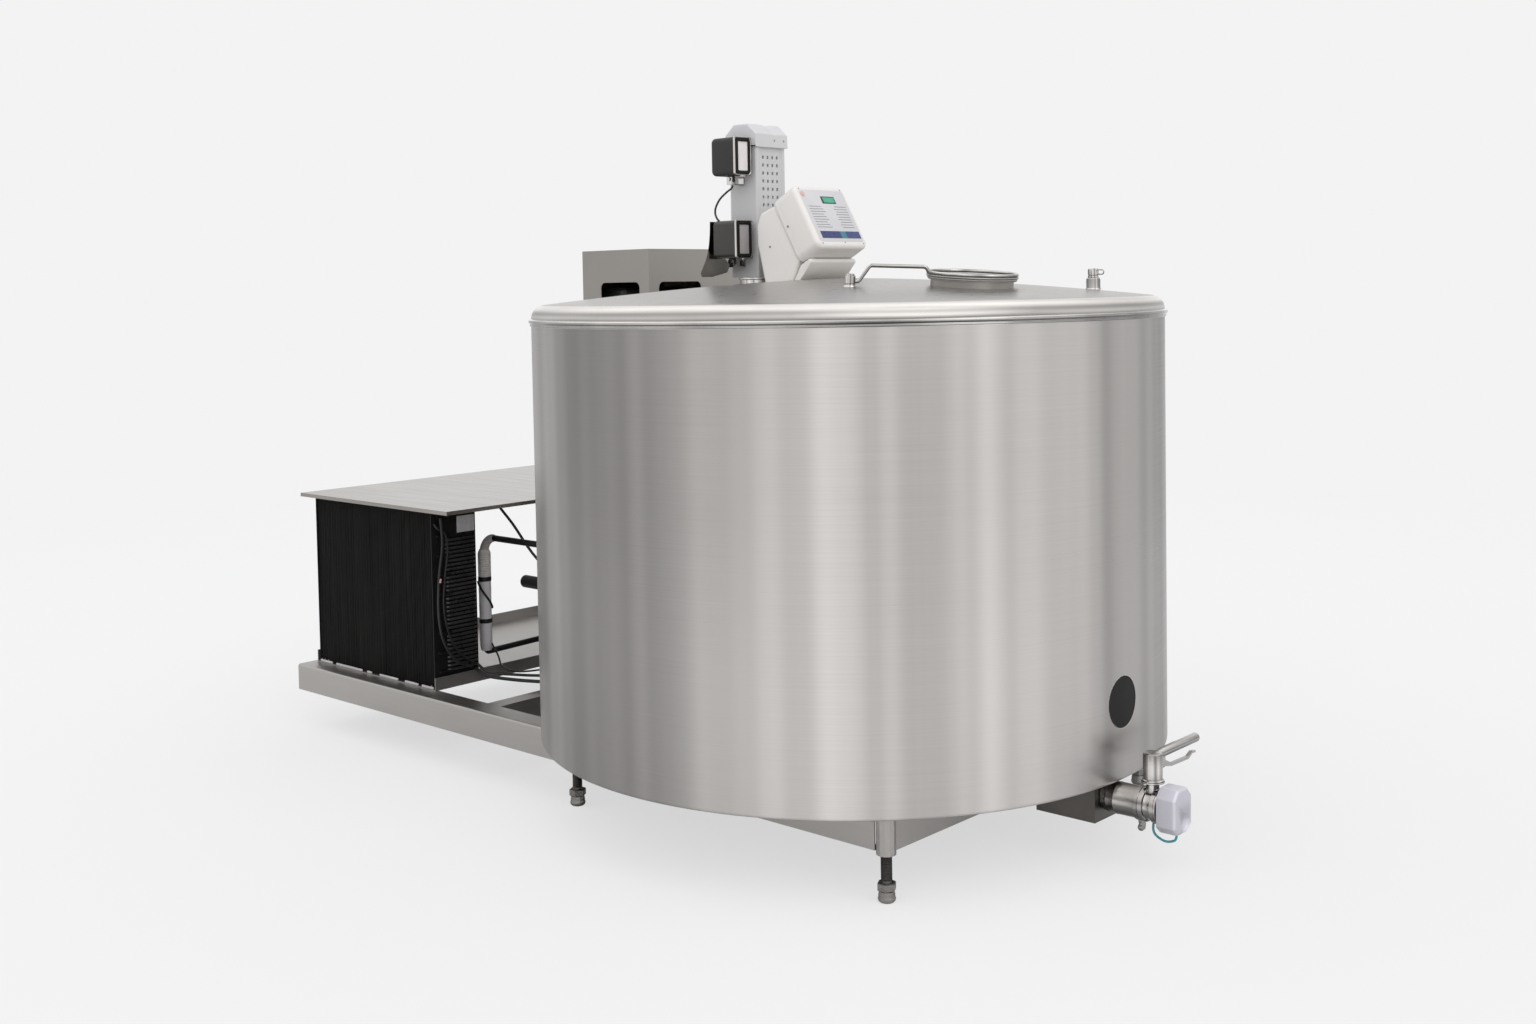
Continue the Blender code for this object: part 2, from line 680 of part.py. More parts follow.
def leg_socket(target, name, x, y, top):
    """Thick tube welded into the frame, which takes a foot's spindle from below."""
    shape = bmesh.new()
    turned(shape, disc(SOCKET_RADIUS, FRAME_BOTTOM - SOCKET_DROP, top), 12, (x, y, 0))
    cut(target, name, shape, operation="UNION")
    bore = bmesh.new()
    turned(bore, disc(SPINDLE_RADIUS + GAP, FRAME_BOTTOM - SOCKET_DROP - 0.01, SPINDLE_TOP + 0.003), 12, (x, y, 0))
    cut(target, name + "_bore", bore)


def make_feet():
    """Screwed feet, each a spindle above a round pad with a hexagon to turn it by."""
    places = (("foot_front_left", CORNER_LEG, -CORNER_LEG), ("foot_front_right", CORNER_LEG, CORNER_LEG),
              ("foot_rear_left", REAR_LEG_X, -REAR_LEG_Y), ("foot_rear_right", REAR_LEG_X, REAR_LEG_Y))
    for name, x, y in places:
        shape = bmesh.new()
        turned(shape, [(0.0, 0.0), (PAD_RADIUS * 0.62, 0.0), (PAD_RADIUS * 0.95, PAD_HEIGHT * 0.22),
                       (PAD_RADIUS, PAD_HEIGHT * 0.5), (PAD_RADIUS * 0.88, PAD_HEIGHT),
                       (SPINDLE_RADIUS, PAD_HEIGHT), (SPINDLE_RADIUS, SPINDLE_TOP), (0.0, SPINDLE_TOP)], 12,
               (x, y, 0))
        foot = finished(name, shape, DARK_STEEL, pivot=(x, y, 0))
        nut = bmesh.new()
        turned(nut, disc(NUT_FLATS / 2 / math.cos(math.radians(30)), PAD_HEIGHT - 0.006,
                         PAD_HEIGHT - 0.006 + NUT_HEIGHT), 6, (x, y, 0))
        cut(foot, name + "_hexagon", nut, operation="UNION")


def make_tank():
    """Outer shell, foam, inner vessel, evaporator plate, roof and the band round the joint."""
    low = TANK_BOTTOM
    t = SHELL_WALL
    outer = [(0.0, low)] + arc((TANK_RADIUS - SHELL_CORNER, low + SHELL_CORNER), SHELL_CORNER,
                               math.radians(-90), 0.0, 2)
    inner = arc((TANK_RADIUS - SHELL_CORNER, low + SHELL_CORNER), SHELL_CORNER - t, 0.0,
                math.radians(-90), 2) + [(0.0, low + t)]
    shape = bmesh.new()
    turned(shape, outer + [(TANK_RADIUS, SHELL_TOP), (TANK_RADIUS - t, SHELL_TOP)] + inner, TANK_SIDES)
    shell = finished("tank_shell", shape, BRUSHED)
    drain_hole(shell, "shell_drain")
    plug_hole = bmesh.new()
    turned(plug_hole, disc(PLUG_RADIUS + GAP, TANK_RADIUS - 0.05, TANK_RADIUS + 0.05), 24,
           (0, 0, PLUG_HEIGHT), "X")
    cut(shell, "shell_port", plug_hole)

    shape = bmesh.new()
    turned(shape, disc(PLUG_RADIUS, PLUG_BACK, TANK_RADIUS + 0.05), 24, (0, 0, PLUG_HEIGHT), "X")
    plug = finished("port_plug", shape, RUBBER)
    guide = bmesh.new()
    turned(guide, disc(TANK_RADIUS, PLUG_HEIGHT - 2 * PLUG_RADIUS, PLUG_HEIGHT + 2 * PLUG_RADIUS), TANK_SIDES)
    cut(plug, "plug_guide", guide, operation="INTERSECT")

    floor = vessel_floor_line(0.0)
    wall_inner = VESSEL_RADIUS - VESSEL_WALL
    inside = vessel_floor_line(VESSEL_WALL)
    rim = roof_height(VESSEL_RADIUS) - ROOF_WALL - 2 * GAP
    shape = bmesh.new()
    turned(shape, floor + [(VESSEL_RADIUS, rim), (wall_inner, rim)] + inside[::-1], VESSEL_SIDES)
    vessel = finished("inner_vessel", shape, BRUSHED)
    drain_hole(vessel, "vessel_drain")

    under = [(r, z - GAP) for r, z in floor if r <= EVAPORATOR_RADIUS]
    under.append((EVAPORATOR_RADIUS, floor_height(EVAPORATOR_RADIUS) - GAP))
    lower = [(r, z - EVAPORATOR_THICK) for r, z in under]
    shape = bmesh.new()
    turned(shape, lower + under[::-1], VESSEL_SIDES)
    finished("evaporator_plate", shape, BRUSHED)

    make_foam()
    make_roof()

    top = SHELL_TOP + BAND_HEIGHT / 2
    inner = TANK_RADIUS + GAP
    bead = [(inner, top - BAND_HEIGHT), (inner + BAND_PROUD, top - BAND_HEIGHT * 0.75),
            (inner + BAND_PROUD, top - BAND_HEIGHT * 0.25), (inner, top)]
    shape = bmesh.new()
    turned(shape, bead, TANK_SIDES)
    finished("rim_band", shape, POLISHED)


def floor_height(radius):
    """Height of the vessel floor's outer face: highest in the middle, lowest near the wall."""
    flat = VESSEL_RADIUS - VESSEL_CORNER
    return VESSEL_FLOOR + VESSEL_CROWN * (1.0 - min(radius / flat, 1.0))


def vessel_floor_line(inset):
    """The vessel's profile from the middle of the floor to the foot of its wall."""
    flat = VESSEL_RADIUS - VESSEL_CORNER
    centre = (flat, VESSEL_FLOOR + VESSEL_CORNER)
    return [(0.0, floor_height(0.0) + inset)] + arc(centre, VESSEL_CORNER - inset, math.radians(-90), 0.0, 3)


def make_foam():
    """Foam between the shell and the vessel, which also carries the vessel."""
    skin = TANK_RADIUS - SHELL_WALL - GAP
    low = TANK_BOTTOM + SHELL_WALL + GAP
    bend = SHELL_CORNER - SHELL_WALL - GAP
    outside = [(0.0, low)] + arc((skin - bend, low + bend), bend, math.radians(-90), 0.0, 2)
    top = SHELL_TOP - 0.004
    room = EVAPORATOR_THICK + 2 * GAP
    nest = [(0.0, floor_height(0.0) - room)]
    corner = (VESSEL_RADIUS - VESSEL_CORNER, VESSEL_FLOOR + VESSEL_CORNER)
    nest.append((EVAPORATOR_RADIUS + 2 * GAP, floor_height(EVAPORATOR_RADIUS) - room))
    nest.append((EVAPORATOR_RADIUS + 2 * GAP, floor_height(EVAPORATOR_RADIUS) - GAP))
    nest += arc(corner, VESSEL_CORNER + GAP, math.radians(-90), 0.0, 3)
    nest.append((VESSEL_RADIUS + GAP, top))
    shape = bmesh.new()
    turned(shape, outside + [(skin, top)] + nest[::-1], VESSEL_SIDES)
    squeeze_inside(shape, skin)
    foam = finished("tank_insulation", shape, FOAM)
    drain_hole(foam, "foam_drain")
    pocket = bmesh.new()
    turned(pocket, disc(PLUG_RADIUS + GAP, PLUG_BACK - GAP, TANK_RADIUS + 0.05), 24, (0, 0, PLUG_HEIGHT), "X")
    cut(foam, "foam_port", pocket)


def squeeze_inside(shape, radius):
    """Draw the foam's outer corners in, so that its coarser facets stay inside the round shell."""
    shell_flat = math.cos(math.pi / TANK_SIDES)
    for vert in shape.verts:
        flat = math.hypot(vert.co.x, vert.co.y)
        if flat > radius - SHELL_CORNER:
            vert.co.x *= shell_flat
            vert.co.y *= shell_flat


def make_roof():
    """A domed roof with a rolled shoulder, pierced for the manhole, the drive and the rod."""
    centre = (TANK_RADIUS - ROOF_SHOULDER, SKIRT_TOP)
    outer = [(TANK_RADIUS, SHELL_TOP + GAP)] + arc(centre, ROOF_SHOULDER, 0.0, SHOULDER_END, 3)
    outer += [(DOME_RADIUS * share, roof_height(DOME_RADIUS * share)) for share in (0.8, 0.6, 0.4, 0.2, 0.0)]
    t = ROOF_WALL
    inner = [(DOME_RADIUS * share, roof_height(DOME_RADIUS * share) - t) for share in (0.0, 0.4, 0.8)]
    inner += arc(centre, ROOF_SHOULDER - t, SHOULDER_END, 0.0, 2) + [(TANK_RADIUS - t, SHELL_TOP + GAP)]
    shape = bmesh.new()
    turned(shape, outer + inner, TANK_SIDES)
    roof = finished("tank_roof", shape, BRUSHED)
    hole = bmesh.new()
    turned(hole, disc(NECK_RADIUS + GAP, -0.06, 0.06), 24)
    cut(roof, "roof_manhole", hole, MANHOLE)
    hole = bmesh.new()
    turned(hole, disc(BOSS_RADIUS + GAP, ROOF_PEAK - 0.1, ROOF_PEAK + 0.1), 16, (DRIVE_X, 0, 0))
    cut(roof, "roof_drive", hole)
    hole = bmesh.new()
    turned(hole, disc(ROD_SOCKET_RADIUS + GAP, ROOF_PEAK - 0.2, ROOF_PEAK + 0.1), 12, (ROD_X, ROD_Y, 0))
    cut(roof, "roof_rod", hole)


def drain_hole(target, name):
    """The drain pipe's hole through a floor."""
    hole = bmesh.new()
    turned(hole, disc(PIPE_HOLE, OUTLET_Z, VESSEL_FLOOR + VESSEL_CORNER), PIPE_SIDES, (DRAIN_X, 0, 0), phase=0.5)
    cut(target, name, hole)


def make_manhole():
    """Neck, gasket, swinging cover with its ring and arm, and the post that it swings on."""
    top = NECK_HEIGHT
    inner = NECK_RADIUS - NECK_WALL
    profile = [(inner, -0.022), (NECK_RADIUS, -0.022), (NECK_RADIUS, top - NECK_WALL),
               (NECK_RADIUS + NECK_LIP, top - NECK_WALL), (NECK_RADIUS + NECK_LIP, top), (inner, top)]
    shape = bmesh.new()
    turned(shape, profile, 24)
    finished("manhole_neck", shape, POLISHED, parent=MANHOLE)

    low = top + GAP
    shape = bmesh.new()
    turned(shape, collar(inner + 0.001, NECK_RADIUS + NECK_LIP - 0.001, low, low + GASKET_THICK), 24)
    finished("manhole_gasket", shape, RUBBER, parent=MANHOLE)

    low = low + GASKET_THICK + GAP
    edge = COVER_RADIUS
    dish = [(0.0, low), (edge, low), (edge, low + COVER_EDGE), (edge * 0.80, low + COVER_EDGE + 0.001),
            (edge * 0.66, low + COVER_RISE), (0.0, low + COVER_RISE + 0.002)]
    shape = bmesh.new()
    turned(shape, dish, 24)
    finished("manhole_cover", shape, BRUSHED, pivot=POST_LOCAL, parent=MANHOLE)

    ring_centre = low + COVER_EDGE + GAP + RING_ROD
    ring_radius = COVER_RADIUS - RING_ROD
    toward = Vector((POST_LOCAL[0], POST_LOCAL[1])).normalized()
    across = Vector((-toward.y, toward.x))
    shape = bmesh.new()
    bead = [(ring_radius + RING_ROD * math.cos(math.tau * k / 6), ring_centre + RING_ROD * math.sin(math.tau * k / 6))
            for k in range(6)]
    turned(shape, bead, 24)
    ring = finished("cover_arm", shape, POLISHED, pivot=POST_LOCAL, parent=MANHOLE)

    hub_low = POST_LOCAL[2] + POST_HEIGHT * 0.2 + GAP
    hub_high = POST_LOCAL[2] + POST_HEIGHT * 0.85
    arm_top = POST_LOCAL[2] + ARM_RISE
    span = Vector((POST_LOCAL[0], POST_LOCAL[1])).length

    def at(along, height):
        return (toward.x * along, toward.y * along, height)

    arm = bmesh.new()
    path = [at(ring_radius, ring_centre), at(ring_radius + 0.010, arm_top), at(span - 0.050, arm_top),
            at(span - 0.022, hub_low + 0.006), at(span - POST_RADIUS + 0.003, hub_low + 0.006)]
    sweep(arm, bent(path, 0.012, 2), ARM_ROD, 7)
    cut(ring, "arm_rod", arm, MANHOLE, operation="UNION")
    hub = bmesh.new()
    turned(hub, collar(POST_PIN + RUNNING_GAP, POST_RADIUS, hub_low, hub_high), 12, (POST_LOCAL[0], POST_LOCAL[1], 0))
    cut(ring, "arm_hub", hub, MANHOLE, operation="UNION")

    base = POST_LOCAL[2]
    post = [(0.0, base + 0.001), (POST_RADIUS, base + 0.001), (POST_RADIUS, hub_low - GAP), (POST_PIN, hub_low - GAP),
            (POST_PIN, hub_high + GAP), (POST_RADIUS * 0.8, hub_high + GAP),
            (POST_RADIUS * 0.8, base + POST_HEIGHT), (0.0, base + POST_HEIGHT)]
    shape = bmesh.new()
    turned(shape, post, 12, (POST_LOCAL[0], POST_LOCAL[1], 0))
    finished("cover_hinge_post", shape, POLISHED, pivot=POST_LOCAL, parent=MANHOLE)


def make_measuring_rod():
    """A socket through the roof with a plugged rod that lifts out, and the plug's pull ring."""
    top = roof_height(math.hypot(ROD_X, ROD_Y)) + ROD_SOCKET_HEIGHT
    low = top - ROD_SOCKET_HEIGHT - 0.016
    centre = (ROD_X, ROD_Y, 0)
    shape = bmesh.new()
    bore = ROD_RADIUS + RUNNING_GAP
    turned(shape, [(bore, low), (ROD_SOCKET_RADIUS, low), (ROD_SOCKET_RADIUS, top - 0.004),
                   (ROD_SOCKET_RADIUS - 0.002, top), (bore, top)], 12, centre)
    finished("dipstick_socket", shape, POLISHED)
    shape = bmesh.new()
    plug = top + GAP
    turned(shape, [(0.0, ROD_END), (ROD_RADIUS, ROD_END), (ROD_RADIUS, plug), (ROD_PLUG_RADIUS, plug),
                   (ROD_PLUG_RADIUS, plug + ROD_PLUG_HEIGHT - 0.003),
                   (ROD_PLUG_RADIUS - 0.003, plug + ROD_PLUG_HEIGHT), (0.0, plug + ROD_PLUG_HEIGHT)], 12, centre)
    rod = finished("dipstick", shape, POLISHED, pivot=(ROD_X, ROD_Y, top))
    loop = bmesh.new()
    reach = ROD_PLUG_RADIUS + 0.018
    height = plug + ROD_PLUG_HEIGHT * 0.62
    path = bent([(ROD_X + ROD_PLUG_RADIUS - 0.003, ROD_Y, height - 0.006), (ROD_X + reach, ROD_Y, height - 0.006),
                 (ROD_X + reach, ROD_Y, height + 0.006), (ROD_X + ROD_PLUG_RADIUS - 0.003, ROD_Y, height + 0.006)],
                0.006, 3)
    sweep(loop, path, 0.0018, 6)
    cut(rod, "rod_pull_ring", loop, operation="UNION")


def make_agitator():
    """Gear motor with its spigot through the roof, and the stirrer that it turns."""
    centre = (DRIVE_X, 0, 0)
    low = roof_height(abs(DRIVE_X)) - 0.040
    bore = SHAFT_RADIUS + RUNNING_GAP
    seat = BOSS_TOP + 0.030
    shape = bmesh.new()
    turned(shape, [(0.0, seat), (bore, seat), (bore, low), (BOSS_RADIUS, low), (BOSS_RADIUS, BOSS_TOP),
                   (GEAR_RADIUS, BOSS_TOP), (GEAR_RADIUS, BOSS_TOP + GEAR_HEIGHT),
                   (MOTOR_RADIUS, BOSS_TOP + GEAR_HEIGHT + 0.004),
                   (MOTOR_RADIUS, BOSS_TOP + GEAR_HEIGHT + MOTOR_HEIGHT),
                   (MOTOR_RADIUS - 0.006, BOSS_TOP + GEAR_HEIGHT + MOTOR_HEIGHT + 0.006),
                   (0.0, BOSS_TOP + GEAR_HEIGHT + MOTOR_HEIGHT + 0.006)], 16, centre)
    finished("gear_motor", shape, GREY_PLASTIC)

    shape = bmesh.new()
    hub_low = SHAFT_END + 0.010
    hub_high = hub_low + PADDLE_HEIGHT * 0.6
    turned(shape, [(0.0, SHAFT_END), (SHAFT_RADIUS, SHAFT_END), (SHAFT_RADIUS, hub_low), (PADDLE_HUB, hub_low),
                   (PADDLE_HUB, hub_high), (SHAFT_RADIUS, hub_high + 0.006), (SHAFT_RADIUS, seat - RUNNING_GAP),
                   (0.0, seat - RUNNING_GAP)], 12, centre)
    agitator = finished("agitator", shape, POLISHED, pivot=centre)
    blades = bmesh.new()
    for way in (-1, 1):
        front = []
        for step in range(6):
            share = step / 5
            along = PADDLE_HUB - PADDLE_SET + (PADDLE_REACH - PADDLE_HUB) * share
            front.append((DRIVE_X + way * along, way * PADDLE_SWEEP * share ** 2))
        back = [(x, y + way * PADDLE_SHEET) for x, y in front[::-1]]
        prism(blades, front + back, "Z", hub_low + PADDLE_SET, hub_low + PADDLE_SET + PADDLE_HEIGHT * 0.5)
    cut(agitator, "agitator_blades", blades, operation="UNION")


def make_column():
    """Ventilated housing round the gear motor, closed by a cap with sloping sides."""
    low = BOSS_TOP + GAP
    half_x, half_y = COLUMN_DEPTH / 2, COLUMN_WIDTH / 2
    t = COLUMN_WALL
    shape = bmesh.new()
    back = DRIVE_X - half_x - COLUMN_BACK
    prism(shape, rounded(rectangle(back, -half_y, DRIVE_X + half_x, half_y), COLUMN_CORNER, 2), "Z", low, COLUMN_TOP)
    column = finished("drive_housing", shape, GREY_PLASTIC)
    room = bmesh.new()
    prism(room, rounded(rectangle(back + t, -half_y + t, DRIVE_X + half_x - t, half_y - t),
                        COLUMN_CORNER - t, 2), "Z", low - 0.01, COLUMN_TOP + 0.01)
    cut(column, "column_room", room)
    vents = bmesh.new()
    half = VENT_SIZE / 2
    for row in range(VENT_ROWS):
        for place in range(VENT_COLUMNS):
            y = (place - (VENT_COLUMNS - 1) / 2) * VENT_PITCH_Y
            z = VENT_TOP - row * VENT_PITCH_Z
            box(vents, (DRIVE_X + half_x - 2 * t, y - half, z - half), (DRIVE_X + half_x + t, y + half, z + half))
    cut(column, "column_vents", vents)

    low = COLUMN_TOP + GAP
    shape = bmesh.new()
    back, front, top = back - CAP_OVERHANG, DRIVE_X + half_x + CAP_OVERHANG, low + CAP_HEIGHT
    outline = [(back, low), (front, low), (front, top - CAP_SLOPE_DOWN), (front - CAP_SLOPE_IN, top),
               (back + CAP_SLOPE_IN, top), (back, top - CAP_SLOPE_DOWN)]
    prism(shape, rounded(outline, CAP_ROUND, 3), "Y", -half_y - CAP_OVERHANG, half_y + CAP_OVERHANG)
    finished("drive_housing_cap", shape, GREY_PLASTIC)


def make_lamps():
    """Two work lamps beside the column, each tilting on a pin between a bracket's ears."""
    for name, middle in (("upper_lamp", UPPER_LAMP_Z), ("lower_lamp", LOWER_LAMP_Z)):
        pivot = (LAMP_FRONT_X - LAMP_DEPTH / 2, LAMP_Y, middle - LAMP_HEIGHT / 2 - LUG_DROP * 0.5)
        make_lamp(name, middle, pivot)
        make_bracket(name + "_bracket", pivot)


def make_lamp(name, middle, pivot):
    """Housing with a rimmed window opening and a lug below, and the glass behind the rim."""
    half_y, half_z = LAMP_WIDTH / 2, LAMP_HEIGHT / 2
    shape = bmesh.new()
    soft_box(shape, (LAMP_FRONT_X - LAMP_DEPTH, LAMP_Y - half_y, middle - half_z),
             (LAMP_FRONT_X, LAMP_Y + half_y, middle + half_z), 0.012, 3, "+X")
    lamp = finished(name, shape, LAMP_BLACK, pivot=pivot)
    lug = bmesh.new()
    side = LUG_WIDTH / 2
    profile = rounded([(pivot[0] - 0.010, pivot[2] - 0.007), (pivot[0] + 0.010, pivot[2] - 0.007),
                       (pivot[0] + 0.010, middle - half_z + 0.004), (pivot[0] - 0.010, middle - half_z + 0.004)],
                      0.006, 3)
    prism(lug, profile, "Y", LAMP_Y - side, LAMP_Y + side)
    cut(lamp, name + "_lug", lug, operation="UNION")
    bore = bmesh.new()
    turned(bore, disc(PIN_RADIUS + GAP, -side - 0.01, side + 0.01), 10, pivot, "Y")
    cut(lamp, name + "_bore", bore)
    window = bmesh.new()
    wy, wz = LAMP_WINDOW_Y / 2, LAMP_WINDOW_Z / 2
    box(window, (LAMP_FRONT_X - LAMP_RIM, LAMP_Y - wy, middle - wz), (LAMP_FRONT_X + 0.01, LAMP_Y + wy, middle + wz))
    cut(lamp, name + "_window", window)
    glass = bmesh.new()
    inner = LAMP_FRONT_X - LAMP_RIM + GAP
    box(glass, (inner, LAMP_Y - wy + GAP, middle - wz + GAP), (inner + GLASS_THICK, LAMP_Y + wy - GAP, middle + wz - GAP))
    finished(name + "_glass", glass, LAMP_GLASS, pivot=pivot)


def make_bracket(name, pivot):
    """A folded strip from the column's side to two ears, with the riveted pin across them."""
    x, y, z = pivot
    low = z - LUG_DROP * 0.5 - EAR_THICK - 0.004
    side = LUG_WIDTH / 2 + RUNNING_GAP
    wall = -COLUMN_WIDTH / 2 - GAP
    outline = [(wall, low), (wall, low + 0.020), (wall - EAR_THICK, low + 0.020), (wall - EAR_THICK, low + EAR_THICK),
               (y + side + EAR_THICK, low + EAR_THICK), (y + side + EAR_THICK, z + 0.006), (y + side, z + 0.006),
               (y + side, low + EAR_THICK), (y - side, low + EAR_THICK), (y - side, z + 0.006),
               (y - side - EAR_THICK, z + 0.006), (y - side - EAR_THICK, low)]
    strip = bmesh.new()
    prism(strip, outline, "X", x - 0.010, x + 0.010)
    bracket = finished(name, strip, POLISHED)
    head = side + EAR_THICK - 0.0005
    pin = bmesh.new()
    turned(pin, [(0.0, -head - 0.004), (PIN_RADIUS * 1.8, -head - 0.004), (PIN_RADIUS * 1.8, -head),
                 (PIN_RADIUS, -head), (PIN_RADIUS, head), (PIN_RADIUS * 1.8, head),
                 (PIN_RADIUS * 1.8, head + 0.004), (0.0, head + 0.004)], 10, pivot, "Y")
    cut(bracket, name + "_pin", pin, operation="UNION")


def make_control_box():
    """Moulded pedestal on the roof, the leaning box on it, its display and its push button."""
    lean = BOX_TILT
    out = Vector((math.cos(lean), math.sin(lean)))
    up = Vector((-math.sin(lean), math.cos(lean)))
    panel = Vector((PANEL_X, PANEL_Z))
    back = panel - out * (BOX_DEPTH + GAP)
    half = BOX_HEIGHT / 2
    top, bottom = back + up * (half - BOX_ROUND * 0.6), back - up * (half - BOX_ROUND * 0.6)
    rear = COLUMN_FRONT + PEDESTAL_CLEAR
    heel, toe = rear + 0.036, rear + 0.106
    outline = [tuple(bottom), tuple(top), (rear + 0.016, top.y - 0.020), (rear, top.y - 0.056),
               (rear + 0.002, bottom.y + 0.045), (heel, roof_height(abs(heel)) + GAP),
               (toe, roof_height(abs(toe)) + GAP)]
    shape = bmesh.new()
    prism(shape, outline, "Y", -PEDESTAL_WIDTH / 2, PEDESTAL_WIDTH / 2)
    edges = [e for e in shape.edges if abs(e.verts[0].co.y - e.verts[1].co.y) < 1e-6
             and max(v.co.z for v in e.verts) > ROOF_PEAK + 0.02]
    bmesh.ops.bevel(shape, geom=edges, offset=0.010, segments=2, profile=0.5, affect="EDGES", clamp_overlap=True)
    finished("control_pedestal", shape, WHITE_PLASTIC)

    tilt = (0.0, -lean, 0.0)
    centre = (PANEL_X, 0.0, PANEL_Z)
    shape = bmesh.new()
    soft_box(shape, (-BOX_DEPTH, -BOX_WIDTH / 2, -half), (0.0, BOX_WIDTH / 2, half), BOX_ROUND, 3, "-X")
    front = finished("control_box", shape, WHITE_PLASTIC, turn=tilt)
    front.location = centre
    well = bmesh.new()
    turned(well, disc(BUTTON_RADIUS + RUNNING_GAP, -BUTTON_TRAVEL - 0.004, 0.01), 16, (0, BUTTON_SIDE, BUTTON_UP), "X")
    cut(front, "button_well", well, location=centre, turn=tilt)
    wy, wz = DISPLAY_WIDTH / 2, DISPLAY_HEIGHT / 2
    recess = bmesh.new()
    box(recess, (-0.003, DISPLAY_SIDE - wy - GAP, DISPLAY_UP - wz - GAP), (0.01, DISPLAY_SIDE + wy + GAP, DISPLAY_UP + wz + GAP))
    cut(front, "display_recess", recess, location=centre, turn=tilt)
    shape = bmesh.new()
    box(shape, (-0.003 + GAP, DISPLAY_SIDE - wy, DISPLAY_UP - wz), (0.0008, DISPLAY_SIDE + wy, DISPLAY_UP + wz))
    screen = finished("control_display", shape, DISPLAY_GREEN, turn=tilt)
    screen.location = centre
    shape = bmesh.new()
    turned(shape, [(0.0, -0.0035), (BUTTON_RADIUS, -0.0035), (BUTTON_RADIUS, 0.0015), (BUTTON_RADIUS - 0.001, 0.0025),
                   (0.0, 0.0025)], 16, (0, BUTTON_SIDE, BUTTON_UP), "X")
    button = finished("alarm_button", shape, BUTTON_PINK, turn=tilt)
    button.location = centre


def make_outlet():
    """Sump box under the tank, drain pipe with its ferrule, and the threaded outlet stub."""
    high = TANK_BOTTOM - GAP
    t = SUMP_SHEET
    w = SUMP_HALF_WIDTH
    shape = bmesh.new()
    box(shape, (SUMP_BACK, -w, SUMP_BOTTOM), (SUMP_FRONT, w, high))
    sump = finished("outlet_sump_box", shape, BRUSHED)
    room = bmesh.new()
    box(room, (SUMP_BACK + t, -w + t, SUMP_BOTTOM + t), (SUMP_FRONT - t, w - t, high + 0.01))
    cut(sump, "sump_room", room)
    hole = bmesh.new()
    turned(hole, disc(PIPE_HOLE, SUMP_FRONT - 0.01, SUMP_FRONT + 0.01), PIPE_SIDES, (0, 0, OUTLET_Z), "X")
    cut(sump, "sump_hole", hole)

    mouth = floor_height(DRAIN_X) + VESSEL_WALL
    path = bent([(DRAIN_X, 0, mouth), (DRAIN_X, 0, OUTLET_Z), (SUMP_FRONT + 0.004, 0, OUTLET_Z)], 0.045, 3)
    shape = bmesh.new()
    sweep(shape, path, PIPE_RADIUS, PIPE_SIDES)
    pipe = finished("outlet_pipe", shape, BRUSHED)
    start = SUMP_FRONT + GAP + 0.001
    shape = bmesh.new()
    turned(shape, disc_profile([(PIPE_RADIUS, start), (FERRULE_RADIUS - 0.003, start + 0.002),
                                (FERRULE_RADIUS, start + 0.036), (FERRULE_RADIUS, FERRULE_END)]), PIPE_SIDES,
           (0, 0, OUTLET_Z), "X")
    cut(pipe, "pipe_ferrule", shape, operation="UNION")
    bore = bmesh.new()
    path[0].z += 0.02
    path[-1].x += 0.004
    sweep(bore, path, PIPE_RADIUS - PIPE_WALL, PIPE_SIDES)
    cut(pipe, "pipe_bore", bore)
    bore = bmesh.new()
    turned(bore, disc(BORE_RADIUS, SUMP_FRONT - 0.002, FERRULE_END + 0.01), PIPE_SIDES, (0, 0, OUTLET_Z), "X")
    cut(pipe, "ferrule_bore", bore)

    start = VALVE_END + GAP
    profile = [(BORE_RADIUS, start), (STUB_RADIUS + 0.006, start), (STUB_RADIUS + 0.006, start + 0.004),
               (STUB_RADIUS - 0.002, start + 0.004)]
    for ridge in range(3):
        low = start + 0.008 + ridge * 0.008
        profile += [(STUB_RADIUS - 0.002, low), (STUB_RADIUS, low + 0.003)]
    profile += [(STUB_RADIUS - 0.002, start + STUB_LENGTH), (BORE_RADIUS, start + STUB_LENGTH)]
    shape = bmesh.new()
    turned(shape, profile, VALVE_SIDES, (0, 0, OUTLET_Z), "X")
    finished("outlet_stub", shape, POLISHED)


def disc_profile(points):
    """A solid turned profile from points of its outside, closed on the axis at both ends."""
    return [(0.0, points[0][1])] + points + [(0.0, points[-1][1])]


